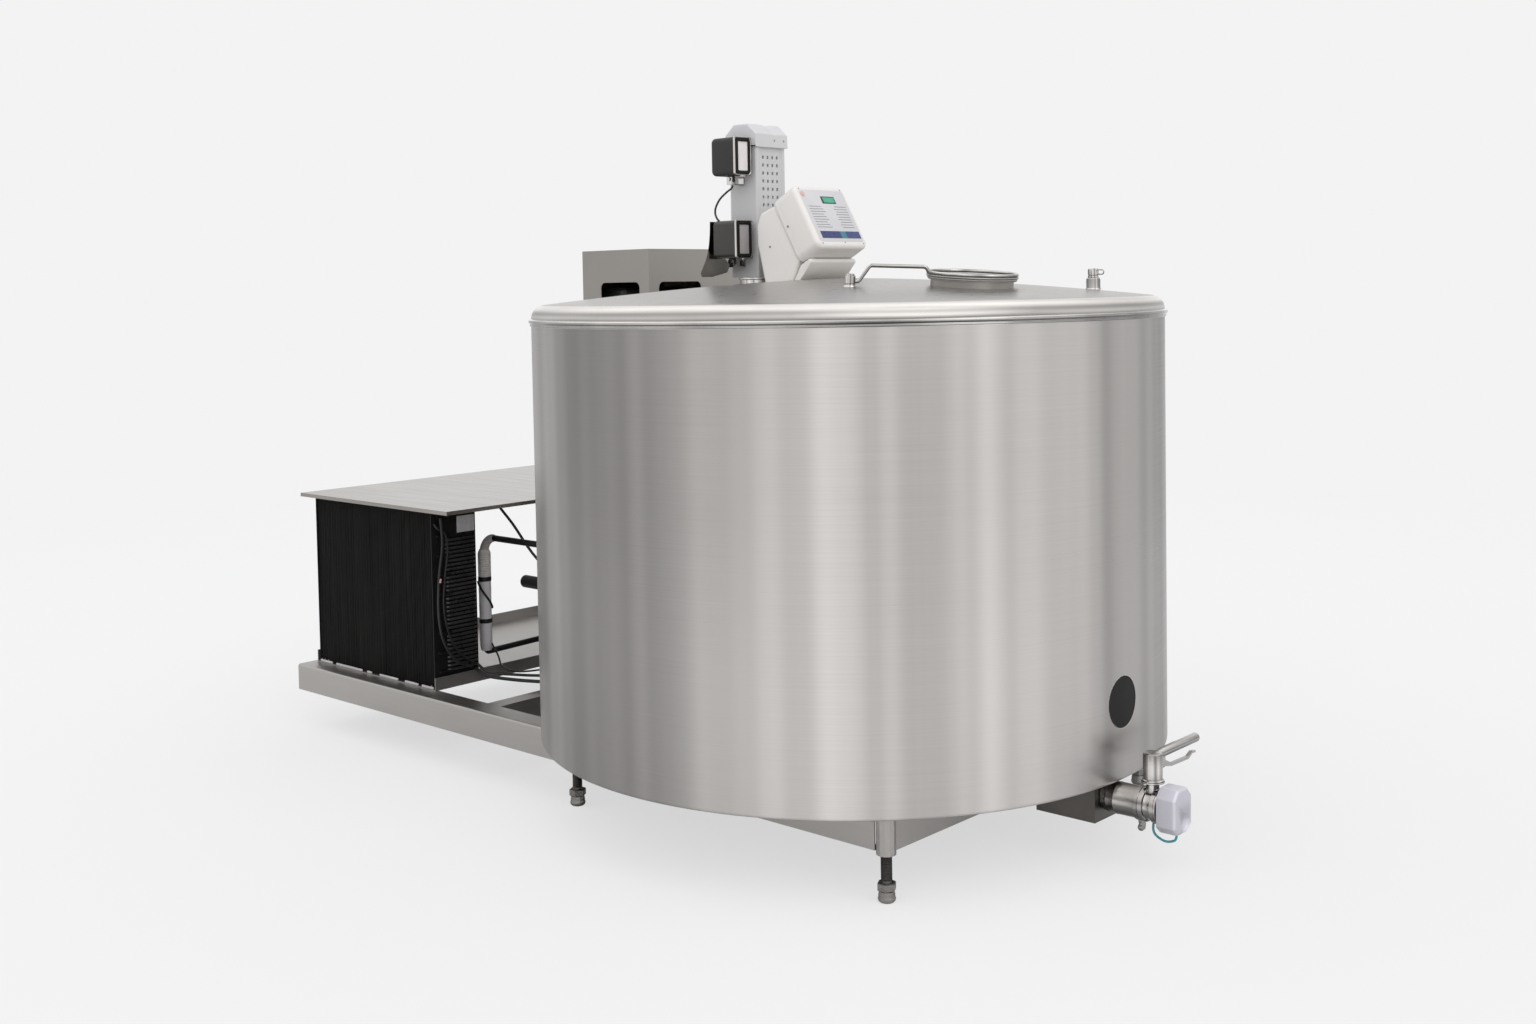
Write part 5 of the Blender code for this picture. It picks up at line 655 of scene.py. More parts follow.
def screw(centre, axis, way, radius=0.0030, height=0.0012):
    """A small pan-headed screw: a low dome of the radius, with a dimple for the driver."""
    profile = [(0.0, -0.001), (radius, -0.001), (radius, height * 0.4), (radius * 0.75, height * 0.9),
               (radius * 0.4, height), (radius * 0.3, height * 0.5), (0.0, height * 0.35)]
    return lathe([(r, way * h) for r, h in profile], centre, axis, 16)


show("column_cap_screws", [screw((-0.2653, a, 1.872), "X", 1) for a in (0.010, 0.050)], screw_steel, "base")
spigot = [(0.0, 1.420), (0.0597, 1.420), (0.0597, 1.4680), (0.0630, 1.4690), (0.0640, 1.4700),
          (0.0640, 1.4742), (0.0630, 1.4752), (0.0, 1.4752)]
show("drive_spigot", [lathe(spigot, SPIGOT_PLACE, sides=72)], bright, "base")
dress(grey_moulding, "gear_motor")


# Work lamps: two dark cast housings beside the column, each with a bright front frame, a black gasket
# and a frosted window. They tilt on a pin in a folded strip bracket.
lamp_black = finish("lamp_black_cast", "#1F1E1E", 0.50, grain=900, grain_tone=0.10, patch=16,
                    patch_tone=0.10, gloss_tone=0.08, dent=0.45, dent_height=0.0002)
lamp_brown = finish("lamp_dark_cast", "#35332F", 0.34, grain=900, grain_tone=0.08, patch=12,
                    patch_tone=0.16, gloss_tone=0.10, dent=0.30, dent_height=0.0002)
window_white = finish("frosted_window", "#E4DEDE", 0.18, grain=(120, 120, 12), grain_tone=0.03, patch=14,
                      patch_tone=0.05, fixed={"Coat Weight": 0.5, "Coat Roughness": 0.08})
window_grey = finish("frosted_grey_window", "#A9A5A5", 0.20, grain=(260, 260, 10), grain_tone=0.06, patch=14,
                     patch_tone=0.06, fixed={"Coat Weight": 0.5, "Coat Roughness": 0.08})
for lamp, middle, cast, pane in (("upper_lamp", 1.823, lamp_black, window_white),
                                 ("lower_lamp", 1.585, lamp_brown, window_grey)):
    head, y = lamp + "_head", -0.108
    shell = oblong(y - 0.0345, middle - 0.0545, y + 0.0345, middle + 0.0545, 0.014)
    front = oblong(y - 0.035, middle - 0.055, y + 0.035, middle + 0.055, 0.006)
    opening = oblong(y - 0.0215, middle - 0.0425, y + 0.0215, middle + 0.0425, 0.003)
    lug = oblong(-0.340, middle - 0.071, -0.320, middle - 0.051, 0.006)
    case = [pressed(shell, "X", -0.380, -0.2885, 0.013, 0.0, 6),
            pressed(lug, "Y", y - 0.005, y + 0.005, 0.001)]
    show(lamp + "_case", case, cast, head, [lamp])
    rim = pressed(front, "X", -0.2880, -0.2812, 0.0015)
    bezel = show(lamp + "_frame", [rim], bright, head)
    drilled(bezel, [pressed(inset(opening, -0.0095), "X", -0.2850, -0.2600, 0.0)])
    ring = pressed(inset(opening, -0.0092), "X", -0.2870, -0.2800, 0.0015)
    gasket = show(lamp + "_gasket", [ring], rubber, head)
    drilled(gasket, [pressed(inset(opening, 0.0005), "X", -0.2850, -0.2600, 0.0)])
    glass = pressed(inset(opening, 0.0006), "X", -0.2860, -0.2825, 0.0008)
    show(lamp + "_pane", [glass], pane, head, [lamp + "_glass"])
    screws = [screw((-0.2812, y + a, middle + b), "X", 1, 0.0026, 0.0012)
              for a in (-0.0315, 0.0315) for b in (-0.0515, 0.0515)]
    show(lamp + "_frame_screws", screws, screw_steel, head)
    latch = oblong(y - 0.008, middle - 0.0605, y + 0.008, middle - 0.0530, 0.002, 3)
    show(lamp + "_latch", [pressed(latch, "X", -0.2880, -0.2805, 0.001)], bright, head)
dress(bright, "upper_lamp_bracket", "lower_lamp_bracket")


# Lamp shield: a bent sheet of dark polished steel on the lower lamp's back, flared out at its foot.
shield_steel = finish("dark_polished_sheet", "#5A5753", 0.20, 1.0, grain=200, grain_tone=0.05, patch=12,
                      patch_tone=0.25, gloss_tone=0.08)
spine = flowing(np.array([(-0.3835, 1.638), (-0.3850, 1.600), (-0.3900, 1.560), (-0.4010, 1.520),
                          (-0.4170, 1.486)]), 6)
along = unit(np.gradient(spine, axis=0))
out = spine + np.stack([along[:, 1], -along[:, 0]], -1) * 0.0012
share = np.linspace(0, 1, len(spine))
near, far = -0.1435 - 0.006 * share ** 2, -0.080 + 0.004 * share ** 2
edges = ((spine, near), (spine, far), (out, far), (out, near))
loop = [np.stack([line[:, 0], y, line[:, 1]], -1) for line, y in edges]
wing = rounded([(-0.3835, 1.530), (-0.3835, 1.560), (-0.4000, 1.5230), (-0.4200, 1.4890), (-0.4150, 1.4785),
                (-0.3740, 1.4780), (-0.3120, 1.4900), (-0.3020, 1.5120), (-0.3200, 1.5290)],
               [0.002, 0.002, 0.010, 0.004, 0.006, 0.012, 0.010, 0.006, 0.004], 4)
show("lamp_shield", [(np.stack(loop, 1), False, True, True), pressed(wing, "Y", -0.1500, -0.1488, 0.0004)],
     shield_steel, "lower_lamp_head")


# Lamp cable: a thin black lead from the upper lamp's bracket in a loose bow down to the lower lamp. It stays
# in place when a lamp tilts.
lead = finish("lead_rubber", "#26262A", 0.42, grain=400, grain_tone=0.1, dent=0.1)
route = np.array([(-0.333, -0.098, 1.741), (-0.338, -0.100, 1.733), (-0.352, -0.106, 1.722),
                  (-0.370, -0.114, 1.704), (-0.381, -0.120, 1.682), (-0.383, -0.122, 1.664),
                  (-0.378, -0.121, 1.649), (-0.370, -0.119, 1.6392)])
made = show("lamp_lead", [tube(route, 0.0030, 12, 8)], lead, None)
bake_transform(made)


# Control box: a white moulded box with a large edge radius, leaning back on a moulded pedestal with a
# small tray in front. Its front shell meets the back one in a fine seam, and its face has a membrane
# panel with a small display.
def over_roof(grid, *ends):
    """A grid with its lowest points raised to just clear of the dome: the height is the greater of its
    own and the roof's."""
    grid[..., 2] = np.maximum(grid[..., 2], roof_height(np.hypot(grid[..., 0], grid[..., 1])) + SEAT)
    return grid, *ends


LEAN = math.radians(29.0)
BOX_X, BOX_Z = -0.045, 1.643
white_moulding = finish("white_box_moulding", "#ECE9E6", 0.40, grain=800, grain_tone=0.015, patch=4,
                        patch_tone=0.02, gloss_tone=0.05, dent=0.10, dent_height=0.0001)
TILT = Matrix.Translation((BOX_X, 0.0, BOX_Z)) @ Matrix.Rotation(-LEAN, 4, "Y")
face = oblong(-0.110, -0.102, 0.110, 0.102, 0.024, 8)
show("box_front_shell", [pressed(face, "X", 0.0, -0.0700, 0.0125, 0.0012, 7, TILT)], white_moulding, "base",
     ["control_box"], sharp=50)
show("box_back_shell", [pressed(inset(face, 0.0012), "X", -0.0702, -0.0920, 0.0008, 0.010, 5, TILT)],
     white_moulding, "base", sharp=50)
membrane = finish("membrane_panel", "#D6D5D8", 0.34, grain=500, grain_tone=0.015, patch=9, patch_tone=0.02)
panel = pressed(oblong(-0.095, -0.084, 0.095, 0.086, 0.008), "X", -0.001, 0.0005, 0.0004, 0.0004, 2, TILT)
show("box_membrane", [panel], membrane, "base")
key_grey = finish("printed_key_bars", "#8C8C94", 0.40, grain=300, grain_tone=0.05)
keys = []
for row in range(9):
    level = 0.030 - row * 0.0085
    for start, stop in ((-0.080, -0.028 + 0.006 * (row % 3)), (0.030 - 0.005 * (row % 2), 0.082)):
        bar = oblong(start, level, stop, level + 0.0022, 0.0010, 2)
        keys.append(pressed(bar, "X", 0.0, 0.0007, 0.0001, 0.0001, 1, TILT))
show("box_key_bars", keys, key_grey, "base")
for name, colour, start, stop in (("violet", "#333A72", -0.079, 0.006), ("teal", "#3E7F90", 0.0062, 0.030),
                                  ("blue", "#37477A", 0.0302, 0.090)):
    band = finish("printed_" + name, colour, 0.32, grain=60, grain_tone=0.05, patch=30, patch_tone=0.10)
    stripe = pressed(oblong(start, -0.073, stop, -0.050, 0.001), "X", 0.0, 0.0009, 0.0002, 0.0002, 1, TILT)
    show("box_band_" + name, [stripe], band, "base")
lcd = finish("lit_display", "#2BA080", 0.22, grain=200, grain_tone=0.05, patch=30, patch_tone=0.20,
             fixed={"Coat Weight": 0.6, "Coat Roughness": 0.05})
lcd_frame = finish("display_frame", "#1F4A40", 0.30, grain=300, grain_tone=0.08)
surround = oblong(-0.013, 0.041, 0.047, 0.065, 0.0015)
show("display_surround", [pressed(surround, "X", -0.002, 0.0009, 0.0004, 0.0004, 2, TILT)], lcd_frame, "base",
     ["control_display"])
glass = oblong(-0.0055, 0.0445, 0.0425, 0.0615, 0.001)
show("display_glass", [pressed(glass, "X", 0.0, 0.0013, 0.0002, 0.0002, 1, TILT)], lcd, "base")
pink = finish("pink_button", "#DDB5B0", 0.38, grain=300, grain_tone=0.03, dent=0.1)
button = [(0.0, -0.0035), (0.0085, -0.0035), (0.0085, 0.0012), (0.0080, 0.0021), (0.0068, 0.0025),
          (0.0, 0.0028)]
at_button = TILT @ Matrix.Translation((0, -0.084, 0.0715))
show("pink_push_button", [lathe(button, axis="X", sides=40, place=at_button)], pink, "button",
     ["alarm_button"])
head = [(0.0, 0.0), (0.0022, 0.0), (0.0018, 0.0008), (0.0, 0.0010)]
places = ((-0.090, 0.089), (0.090, 0.089), (-0.088, -0.089), (0.090, -0.089), (0.010, -0.086))
show("box_screws", [lathe(head, axis="X", sides=16, place=TILT @ Matrix.Translation((0, a, b)))
                    for a, b in places], screw_steel, "base")
lean = np.array([math.cos(LEAN), math.sin(LEAN)])
rise = np.array([-lean[1], lean[0]])
back = np.array([BOX_X, BOX_Z]) - lean * 0.0923
top, bottom = back + rise * 0.090, back - rise * 0.090
rear = -0.241
outline = [bottom, top, (rear + 0.016, top[1] - 0.020), (rear, top[1] - 0.056),
           (rear + 0.002, bottom[1] + 0.045), (rear + 0.030, 1.445), (rear + 0.134, 1.445)]
outline = rounded(outline, [0.012, 0.012, 0.016, 0.020, 0.020, 0.011, 0.011], 6)
show("pedestal_moulding", [over_roof(*pressed(outline, "Y", -0.102, 0.102, 0.010, steps=6))], white_moulding,
     "base", ["control_pedestal"], sharp=50)
tray = rounded([(-0.0428, 1.5247), (-0.0765, 1.5060), (-0.1040, 1.4500), (-0.0800, 1.4500),
                (-0.0370, 1.5142)], 0.004, 4)
show("pedestal_tray", [over_roof(*pressed(tray, "Y", -0.099, 0.099, 0.0035))], white_moulding, "base",
     sharp=50)
heads = [screw((-0.1120, -0.1103, 1.6150), "Y", -1), screw((-0.1880, -0.1022, 1.5600), "Y", -1, 0.0034)]
show("box_side_screws", heads, screw_steel, "base")


# Outlet: a folded sump box under the drum, a drain pipe that turns forward through it and a conical
# ferrule, all in satin sheet with the weld beads ground down.
# The pipe steel's colour carries painted reflection by the way it faces.
pipe_steel = finish("satin_pipe_steel", "#CCC9C4", 0.22, 1.0, grain=(20, 60, 60), grain_tone=0.02, patch=18,
                    patch_tone=0.08, gloss_tone=0.05, extra=painted_facing_reflection)
dress(pipe_steel, "outlet_pipe")
# The sump box is painted darker for the tank's shade over it, with painted reflection by the way it faces.
shaded_sump_steel = finish("sump_sheet_painted_shade", "#7D7A76", 0.36, 1.0, grain=(6, 60, 60), grain_tone=0.03, patch=7,
                    patch_tone=0.12, gloss_tone=0.04, extra=painted_facing_reflection)
dress(shaded_sump_steel, "outlet_sump_box")
PIPE_PLACE = (0, 0, 0.160)
ferrule = [(0.0252, 0.826), (0.0345, 0.8275)] + arc((0.030, 0.846), 0.0095, -60, 0, 5)[1:]
ferrule += [(0.0395, 0.8635), (0.0403, 0.8650), (0.0403, 0.8668), (0.0395, 0.8683), (0.0395, 0.9200),
            (0.0430, 0.9225), (0.0430, 0.9330), (0.0420, 0.9340), (0.0252, 0.9340)]
show("outlet_ferrule", [lathe(ferrule, PIPE_PLACE, "X", 72)], pipe_steel, "base")


# Butterfly valve: a polished body between two flanges with an index plate on its neck, a round disc on
# a stem, and a hub with a long hollow grip. The trigger under the grip frees the index plate.
STEM_X = 0.9563
valve_body = [(0.0250, 0.9343), (0.0420, 0.9343), (0.0430, 0.9353), (0.0430, 0.9455), (0.0420, 0.9465),
              (0.0375, 0.9480), (0.0370, 0.9500), (0.0370, 0.9630), (0.0375, 0.9650), (0.0420, 0.9662),
              (0.0430, 0.9672), (0.0430, 0.9773), (0.0420, 0.9783), (0.0250, 0.9783)]
neck = [(0.0066, 0.191), (0.0175, 0.191), (0.0160, 0.198), (0.0160, 0.2130), (0.0190, 0.2165),
        (0.0282, 0.2172), (0.0290, 0.2180), (0.0290, 0.2200), (0.0282, 0.2208), (0.0066, 0.2208)]
show("butterfly_body", [lathe(valve_body, PIPE_PLACE, "X", 72), lathe(neck, (STEM_X, 0, 0), sides=48)],
     bright, "base", ["valve_body"])
handle_hub = [(0.0063, 0.2211), (0.0262, 0.2211), (0.0272, 0.2221), (0.0272, 0.2240), (0.0243, 0.2262),
              (0.0236, 0.2290), (0.0240, 0.2500), (0.0236, 0.2850), (0.0222, 0.2892), (0.0190, 0.2910),
              (0.0, 0.2914), (0.0, 0.2793), (0.0063, 0.2793)]
grip = [(0.0, 0.012), (0.0098, 0.012), (0.0100, 0.030), (0.0120, 0.040), (0.0120, 0.2165), (0.0112, 0.2195),
        (0.0090, 0.2218), (0.0070, 0.2220), (0.0065, 0.2160), (0.0, 0.2155)]
cheek = rounded([(0.0158, 0.287), (0.0158, 0.2455), (0.048, 0.2455), (0.048, 0.287)], 0.006, 5)
pin = [(0.0, -0.0085), (0.0045, -0.0085), (0.0045, -0.0075), (0.003, -0.0072), (0.003, 0.0072),
       (0.0045, 0.0075), (0.0045, 0.0085), (0.0, 0.0085)]
lever = [lathe(handle_hub, (STEM_X, 0, 0), sides=56), lathe(grip, (STEM_X, 0, 0.281), "Y", 40),
         pressed(cheek, "X", 0.9514 - 0.0040, 0.9514 - 0.0005, 0.0008),
         pressed(cheek, "X", 0.9612 + 0.0005, 0.9612 + 0.0040, 0.0008),
         lathe(pin, (STEM_X, 0.040, 0.2555), "X", 24)]
show("valve_lever", lever, bright, "valve", ["valve_handle"])
dress(bright, "valve_disc", "valve_trigger", "outlet_stub")
mouth = [(0.0385, 0.9785), (0.0430, 0.9785), (0.0430, 0.9835), (0.0385, 0.9840)]
show("stub_collar", [lathe(mouth, PIPE_PLACE, "X", 64)], bright, "base")
clamp = rounded([(-0.012, 0.121), (-0.008, 0.108), (-0.016, 0.100), (-0.006, 0.090), (0.010, 0.092),
                 (0.014, 0.104), (0.010, 0.121)], 0.004, 4)
show("body_clamp", [pressed(clamp, "X", 0.9210, 0.9300, 0.0015)], pipe_steel, "base")


# Outlet cap: a soft grey moulded dust cap with eight flats and a thumb scoop, slid over the threaded
# stub. A teal cord moulded into its rim holds it to the valve.
def cap_painted_shading(tree):
    """Painted light and shade on the cap: its flats take slightly different painted tones by the way they
    face, and its chamfers are painted lighter than its face.
    """
    return painted_facing_reflection(tree, ((-1.0, 0.70), (-0.3, 0.80), (0.0, 1.0), (0.5, 1.16), (1.0, 1.12)),
                  ((-1.0, 0.90), (-0.5, 0.96), (-0.05, 1.16), (0.35, 1.12), (0.74, 0.90), (1.0, 0.90)))


# The cap's colour carries this painted light and shade.
cap_plastic = finish("grey_cap_plastic", "#C2C0C9", 0.34, grain=600, grain_tone=0.02, patch=12,
                     patch_tone=0.03, gloss_tone=0.05, dent=0.08, dent_height=0.0001, extra=cap_painted_shading)
cap_low = PIPE_PLACE[2] - 0.060 * math.cos(math.pi / 8)
octagon = rounded([(-0.024, cap_low), (0.024, cap_low), (0.044, 0.122), (0.044, 0.194), (0.023, 0.2154),
                   (-0.023, 0.2154), (-0.044, 0.194), (-0.044, 0.122)], 0.009, 5)
cap = show("dust_cap", [pressed(octagon, "X", 0.988, 1.038, 0.0012, 0.0075, 3)], cap_plastic, "cap",
           ["outlet_cap"])
drilled(cap, [lathe([(0.0, 0.975), (0.0303, 0.975), (0.0303, 1.015), (0.0, 1.015)], PIPE_PLACE, "X", 64),
              lathe(arc((0, 0), 0.0300, -90, 90, 12), (1.056, 0.013, 0.128), "X", 48)])
cord_plastic = finish("teal_cord", "#3F9AA0", 0.40, grain=500, grain_tone=0.05, patch=40, patch_tone=0.10)
route = np.array([(0.9573, 0, 0.1140), (0.9573, 0, 0.0970), (0.9663, 0, cap_low - 0.020),
                  (0.9903, 0, cap_low - 0.028), (1.0140, 0, cap_low - 0.021), (1.0200, 0, cap_low - 0.008),
                  (1.0200, 0, cap_low - SEAT)])
line = flowing(route, 6)
made = show("cap_cord_tube", [tube(line, 0.003, 20)], cord_plastic, None, ["cap_cord"])
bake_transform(made)


# Condensing unit: a black painted casing with the fan in its back, a pan of satin sheet and a plain
# stainless lid.
unit_paint = finish("unit_black_paint", "#141414", 0.50, grain=500, grain_tone=0.15, patch=10,
                    patch_tone=0.20, gloss_tone=0.10, dent=0.20, fixed={"Specular IOR Level": 0.2})
dress(unit_paint, "condenser_casing", "fan_motor", "fan_blades")
dress(satin, "unit_base_pan")
lid_sheet = finish("smooth_lid_sheet", "#9C9893", 0.24, 1.0, grain=(3, 120, 120), grain_tone=0.015, patch=2.4,
                   patch_tone=0.10, gloss_tone=0.04)
dress(lid_sheet, "unit_lid")


# Condenser block: thin aluminium fins, black coated, pressed on tubes whose bends stick out at the end.
# A blank plate is fixed beside the bends, and the casing's bright foot shows in patches under the fins.
fin_coat = finish("black_fin_coat", "#1C1B1A", 0.50, grain=(150, 2, 2), grain_tone=0.75, patch=(34, 1, 2),
                  patch_tone=0.35, gloss_tone=0.12, fixed={"Specular IOR Level": 0.12})
bend_coat = finish("black_bend_coat", "#2E2D2C", 0.34, grain=(90, 90, 260), grain_tone=0.5, patch=20,
                   patch_tone=0.3, gloss_tone=0.10)
FINS, FIN_BACK, FIN_FACE, FIN_LOW, FIN_HIGH = 112, -0.4600, -0.5262, 0.2125, 0.7740
x = np.linspace(-1.8885, -1.2475, FINS)[:, None]
wander = 0.0006 * np.sin(np.arange(FINS) * 2.4)[:, None]
comb = np.concatenate([x - 0.0022, x - 0.0009 + wander, x + 0.0009 + wander, x + 0.0022], 1).ravel()
deep = np.tile([FIN_BACK, FIN_FACE, FIN_FACE, FIN_BACK], FINS)
flat = 0 * comb - 0.4500
rim = [np.stack([comb, side, 0 * comb + level], -1)
       for side, level in ((flat, FIN_LOW), (deep, FIN_LOW), (deep, FIN_HIGH), (flat, FIN_HIGH))]
plate = finish("blank_plate", "#C6C5C8", 0.34, 0.0, grain=(4, 300, 4), grain_tone=0.10, patch=30,
               patch_tone=0.12)
blank = oblong(-0.432, 0.690, -0.364, 0.742, 0.002, 3)
show("casing_plate", [pressed(blank, "X", -1.2441, -1.2430, 0.0003)], plate, "base")
bends = []
for level in np.arange(0.262, 0.672, 0.0132):
    bend = [(-1.2450, -0.478, level), (-1.2402, -0.474, level), (-1.2402, -0.372, level),
            (-1.2450, -0.368, level)]
    bends.append(tube(np.array(bend), 0.0042, 8))
show("tube_bends", bends, bend_coat, "base")
spans = ((-1.884, -1.815), (-1.790, -1.640), (-1.610, -1.585), (-1.540, -1.440), (-1.400, -1.330),
         (-1.310, -1.250))
strips = [pressed(oblong(a, 0.2088, b, 0.2150, 0.0010, 2), "Y", -0.5340, -0.5303, 0.0004) for a, b in spans]
show("casing_foot_strip", strips, plate, "base")
heads = [screw((x, -0.5306, 0.2155), "Y", -1, 0.0035, 0.0014) for x in (-1.878, -1.862, -1.840, -1.262)]
heads += [screw((-1.2437, -0.498, z), "X", 1, 0.0040, 0.0016) for z in (0.592, 0.232)]
show("casing_screws", heads, screw_steel, "base")
show("fin_block", [(np.stack(rim), True, False, False)], fin_coat, "base",
     ["condenser_fins"], sharp=20)


# Refrigeration: the compressor's black pot with its raised seam, the suction line from the tank in its
# bend, ribbed wrapping and smooth sleeve, a black hose on to the compressor, and the black drier.
low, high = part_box("compressor")
pot_place = ((low.x + high.x) / 2 - AXIS.x, (low.y + high.y) / 2, low.z)
pot = [(0.0, 0.0)] + arc((0.061, 0.044), 0.044, -90, 0, 8)
pot += [(0.1050, 0.1716), (0.1105, 0.1722), (0.1110, 0.1735), (0.1110, 0.1830), (0.1105, 0.1845)]
pot += [(0.1050, 0.1850)] + arc((0.050, 0.262), 0.055, 0, 60, 8)
pot += [(0.0600, 0.3215), (0.0400, 0.3285), (0.0, 0.3300)]
show("compressor_pot", [lathe(pot, pot_place, sides=64)], unit_paint, "base", ["compressor"])
wrap = finish("wrapped_line", "#F2EFEA", 0.60, grain=(30, 30, 220), grain_tone=0.10, patch=12,
              patch_tone=0.08, dent=0.5, dent_height=0.0012)
dull_pipe = finish("dull_pipe", "#CFCCC8", 0.45, 0.0, grain=(20, 200, 200), grain_tone=0.10, patch_tone=0.15,
                   gloss_tone=0.08)
hose_black = finish("pipe_tape", "#1B1B1C", 0.46, grain=200, grain_tone=0.15, dent=0.2)
LINE_X, LINE_Y, LINE_Z = -1.345, -0.25, 0.645
reach = -math.sqrt(0.8753 ** 2 - LINE_Y ** 2)
run = bent([(reach - 0.0002, LINE_Y, LINE_Z), (LINE_X, LINE_Y, LINE_Z), (LINE_X, LINE_Y, 0.500)], 0.055, 12)
show("suction_pipe", [tube(run, 0.0100, 24)], hose_black, "base", ["suction_line"])
girth = np.interp(np.linspace(0, 1, len(run) - 2), [0, 0.1, 1], [0.0108, 0.0130, 0.0155])
show("suction_bend", [tube(run[1:-1], girth, 24)], dull_pipe, "base")
flange = [(0.0101, reach - 0.004), (0.0200, reach - 0.004), (0.0205, reach - 0.0005),
          (0.0101, reach - 0.0005)]
show("suction_flange", [lathe(flange, (0, LINE_Y, LINE_Z), "X", 40)], bright, "base")
level = np.linspace(0.604, 0.515, 112)
taper = np.clip((level - 0.592) / 0.012, 0, 1)
ribs = 0.0200 + 0.0016 * np.abs(np.sin(level * math.pi / 0.0075)) - 0.005 * taper
show("suction_wrap", [tube(np.stack([-1.3445 + 0 * level, LINE_Y + 0 * level, level], -1), ribs, 32)], wrap,
     "base", sharp=60)
smooth_wrap = finish("smooth_sleeve", "#F6F4F8", 0.50, grain=120, grain_tone=0.03, patch=20, patch_tone=0.06,
                     dent=0.2, dent_height=0.0004)
level = np.linspace(0.514, 0.270, 40)
sleeve = 0.0208 - 0.0008 * np.abs(np.sin(level * 60)) - 0.004 * np.clip((0.285 - level) / 0.015, 0, 1)
show("suction_sleeve", [tube(np.stack([LINE_X + 0 * level, LINE_Y + 0 * level, level], -1), sleeve, 32)],
     smooth_wrap, "base")
bands = [lathe([(0.0198, z), (0.0219, z), (0.0219, z + 0.014), (0.0198, z + 0.014)],
               (LINE_X, LINE_Y, 0), "Z", 32) for z in (0.500, 0.362)]
t = np.linspace(0, 1, 24)
angle = 4.4 + 2.6 * t
tie = np.stack([LINE_X + 0.0235 * np.cos(angle), LINE_Y + 0.0235 * np.sin(angle), 0.500 - 0.090 * t], -1)
show("suction_ties", bands + [tube(tie, 0.0035, 10)], hose_black, "base")
away = np.array([-1.385 - LINE_X, 0.250 - LINE_Y])
stop = np.array([LINE_X, LINE_Y]) + away / np.linalg.norm(away) * (np.linalg.norm(away) - 0.1055)
low_run = bent([(LINE_X, LINE_Y, 0.290), (LINE_X, LINE_Y, 0.2645), (*stop, 0.2645)], 0.012, 6)
show("suction_hose", [tube(low_run, 0.0095, 20)], hose_black, "base")
dark_plastic = finish("black_fitting", "#242424", 0.40, grain=300, grain_tone=0.12, dent=0.15)
dress(dark_plastic, "filter_drier")


# Cables: the fan's cable and a thinner one down the condenser's side, the sensor's from the lid to the
# tank, and a bundle low beside the unit. All are round rubber cable, and one has a pink connector.
cable_rubber = finish("cable_rubber", "#1D1D1F", 0.38, grain=200, grain_tone=0.12, dent=0.10)
CABLE_X = -1.2294
fan_route = np.array([(CABLE_X, -0.505, 0.745), (CABLE_X, -0.500, 0.660), (CABLE_X, -0.515, 0.560),
                      (CABLE_X, -0.520, 0.450), (CABLE_X, -0.505, 0.360), (CABLE_X, -0.460, 0.290),
                      (CABLE_X + 0.004, -0.400, 0.262)])
sensor_route = np.array([(-1.330, -0.200, 0.7767), (-1.330, -0.200, 0.748), (-1.290, -0.170, 0.680),
                         (-1.230, -0.120, 0.564), (-1.110, -0.050, 0.440), (-0.980, 0.035, 0.400),
                         (-0.910, 0.060, 0.395), (-0.8710, 0.060, 0.395)])
for name, route in (("fan_cable", fan_route), ("sensor_cable", sensor_route)):
    line = flowing(route, 6)
    made = show(name + "_tube", [tube(line, 0.0045, 20)], cable_rubber, "base", [name])
second = np.array([(-1.2420, -0.520, 0.728), (-1.2345, -0.515, 0.715), (-1.2330, -0.485, 0.690),
                   (-1.2330, -0.478, 0.640), (-1.2330, -0.490, 0.560), (-1.2330, -0.498, 0.470),
                   (-1.2330, -0.485, 0.390), (-1.2330, -0.450, 0.320), (-1.2330, -0.400, 0.275),
                   (-1.2400, -0.372, 0.262)])
show("second_cable", [tube(second, 0.0036, 14, 6)], cable_rubber, "base")
pink_sleeve = finish("pink_connector", "#E0B4AC", 0.42, grain=200, grain_tone=0.06)
sleeve = [(CABLE_X - 0.0005, -0.5118, 0.556), (CABLE_X - 0.0005, -0.5140, 0.544)]
show("cable_connector", [tube(sleeve, 0.0062, 16)], pink_sleeve, "base")
bundle = ((0.0045, [(-1.2330, -0.372, 0.262), (-1.205, -0.350, 0.236), (-1.130, -0.300, 0.229),
                    (-1.020, -0.262, 0.236), (-0.860, -0.225, 0.262)]),
          (0.0055, [(-1.2330, -0.380, 0.250), (-1.190, -0.372, 0.231), (-1.110, -0.330, 0.222),
                    (-1.000, -0.300, 0.226), (-0.850, -0.270, 0.236)]),
          (0.0030, [(-1.300, -0.262, 0.300), (-1.262, -0.268, 0.268), (-1.190, -0.300, 0.242),
                    (-1.080, -0.290, 0.246), (-0.856, -0.210, 0.300)]))
for number, (radius, route) in enumerate(bundle):
    show("low_cable_%d" % number, [tube(route, radius, 14, 8)], cable_rubber, "base")


# Wash cabinet: a folded box of satin sheet behind the tank with rounded windows, and the dosing pumps
# on a board behind them.
cabinet_sheet = finish("satin_cabinet_sheet", "#9A9692", 0.42, 1.0, grain=(200, 200, 3), grain_tone=0.03,
                       patch=2, patch_tone=0.05, gloss_tone=0.06, dent=0.05, dent_height=0.0001)
dress(cabinet_sheet, "wash_cabinet")
dress(dark_plastic, "dosing_pumps")


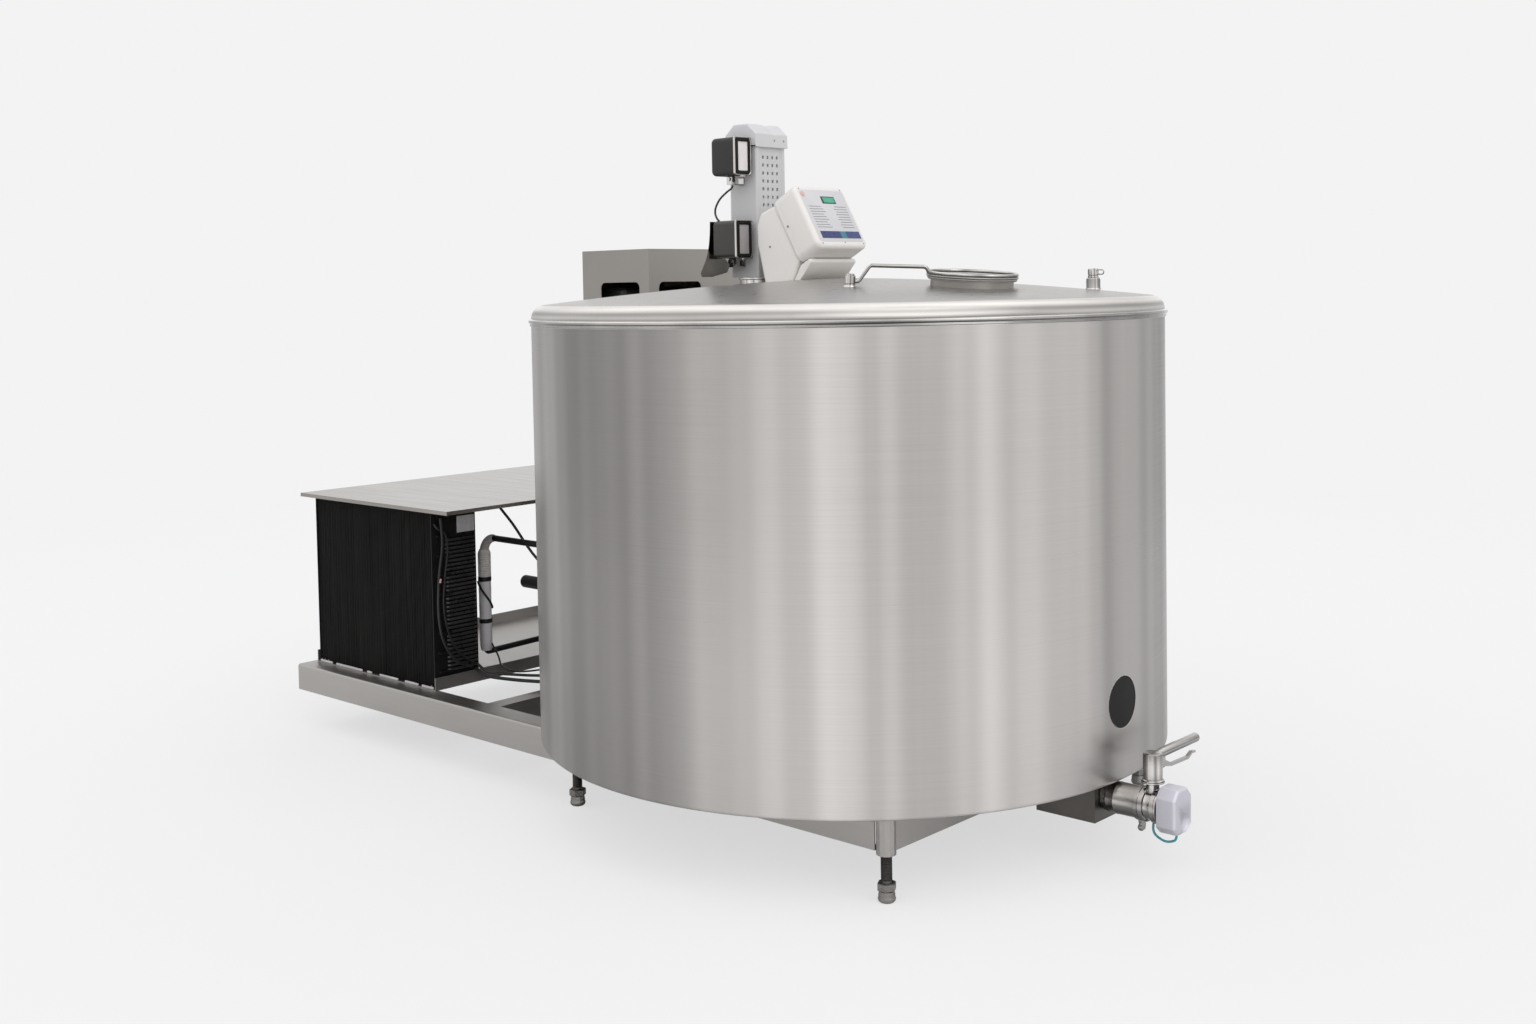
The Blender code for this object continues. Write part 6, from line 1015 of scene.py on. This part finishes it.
# Floor and light: a pale sheet that fades into the backdrop, a pale sky that reflections see as soft
# streaks, and broad soft lamps from the front, from the left and overhead.
floor_paint = bpy.data.materials.new("pale_floor")
floor_paint.use_nodes = True
tree = floor_paint.node_tree
shader = tree.nodes["Principled BSDF"]
shader.inputs["Base Color"].default_value = (*srgb("#F4F4F5"), 1.0)
shader.inputs["Roughness"].default_value = 0.85
shader.inputs["Specular IOR Level"].default_value = 0.0
where = wire(tree, "ShaderNodeTexCoord").outputs["Object"]
away = wire(tree, "ShaderNodeVectorMath", {0: where}, operation="LENGTH").outputs["Value"]
fade = scaled(tree, away, 0.0, 1.0, 3.2, 7.0)
clear = wire(tree, "ShaderNodeBsdfTransparent")
glow = wire(tree, "ShaderNodeEmission", {"Color": (0.895, 0.895, 0.90, 1.0), "Strength": 1.0})
seen = combined(tree, "MULTIPLY", wire(tree, "ShaderNodeLightPath").outputs["Is Camera Ray"], 0.70)
lit = wire(tree, "ShaderNodeMixShader", {0: seen, 1: shader.outputs[0], 2: glow.outputs[0]})
mix = wire(tree, "ShaderNodeMixShader", {0: fade, 1: lit.outputs[0], 2: clear.outputs[0]})
tree.links.new(mix.outputs[0], tree.nodes["Material Output"].inputs["Surface"])
mesh = bpy.data.meshes.new("pale_floor")
mesh.from_pydata([(-9, -9, 0), (9, -9, 0), (9, 9, 0), (-9, 9, 0)], [], [(0, 1, 2, 3)])
mesh.materials.append(floor_paint)
floor = linked("pale_floor", mesh)

world = bpy.data.worlds.new("studio")
bpy.context.scene.world = world
world.use_nodes = True
tree = world.node_tree
sky = tree.nodes["Background"]
path = wire(tree, "ShaderNodeLightPath")
way = wire(tree, "ShaderNodeTexCoord").outputs["Generated"]
streaks = wire(tree, "ShaderNodeMapping", {"Vector": way, "Scale": (2.6, 2.6, 0.35)}).outputs["Vector"]
streaks = wire(tree, "ShaderNodeTexNoise", {"Vector": streaks, "Scale": 1.0, "Detail": 2.0}).outputs["Fac"]
studio = scaled(tree, streaks, 0.62, 1.06, 0.35, 0.65)
seen = combined(tree, "MAXIMUM", path.outputs["Is Glossy Ray"], path.outputs["Is Transmission Ray"])
plain = wire(tree, "ShaderNodeMix", {"Factor": seen, "A": 0.74, "B": studio},
             data_type="FLOAT").outputs["Result"]
level = wire(tree, "ShaderNodeMix", {"Factor": path.outputs["Is Camera Ray"], "A": plain, "B": 0.895},
             data_type="FLOAT").outputs["Result"]
tree.links.new(level, sky.inputs["Strength"])
sky.inputs["Color"].default_value = (1.0, 1.0, 1.0, 1.0)
for name, strength, spread, towards in (("front_light", 0.70, 60, (-0.75, 0.30, -0.60)),
                                        ("left_light", 0.25, 90, (0.45, 0.60, -0.60)),
                                        ("top_light", 0.40, 120, (-0.15, 0.1, -1.0))):
    sun = bpy.data.lights.new(name, "SUN")
    sun.energy = strength
    sun.angle = math.radians(spread)
    linked(name, sun).rotation_euler = Vector(towards).to_track_quat("-Z", "Y").to_euler()
bpy.context.scene.view_settings.view_transform = "Standard"
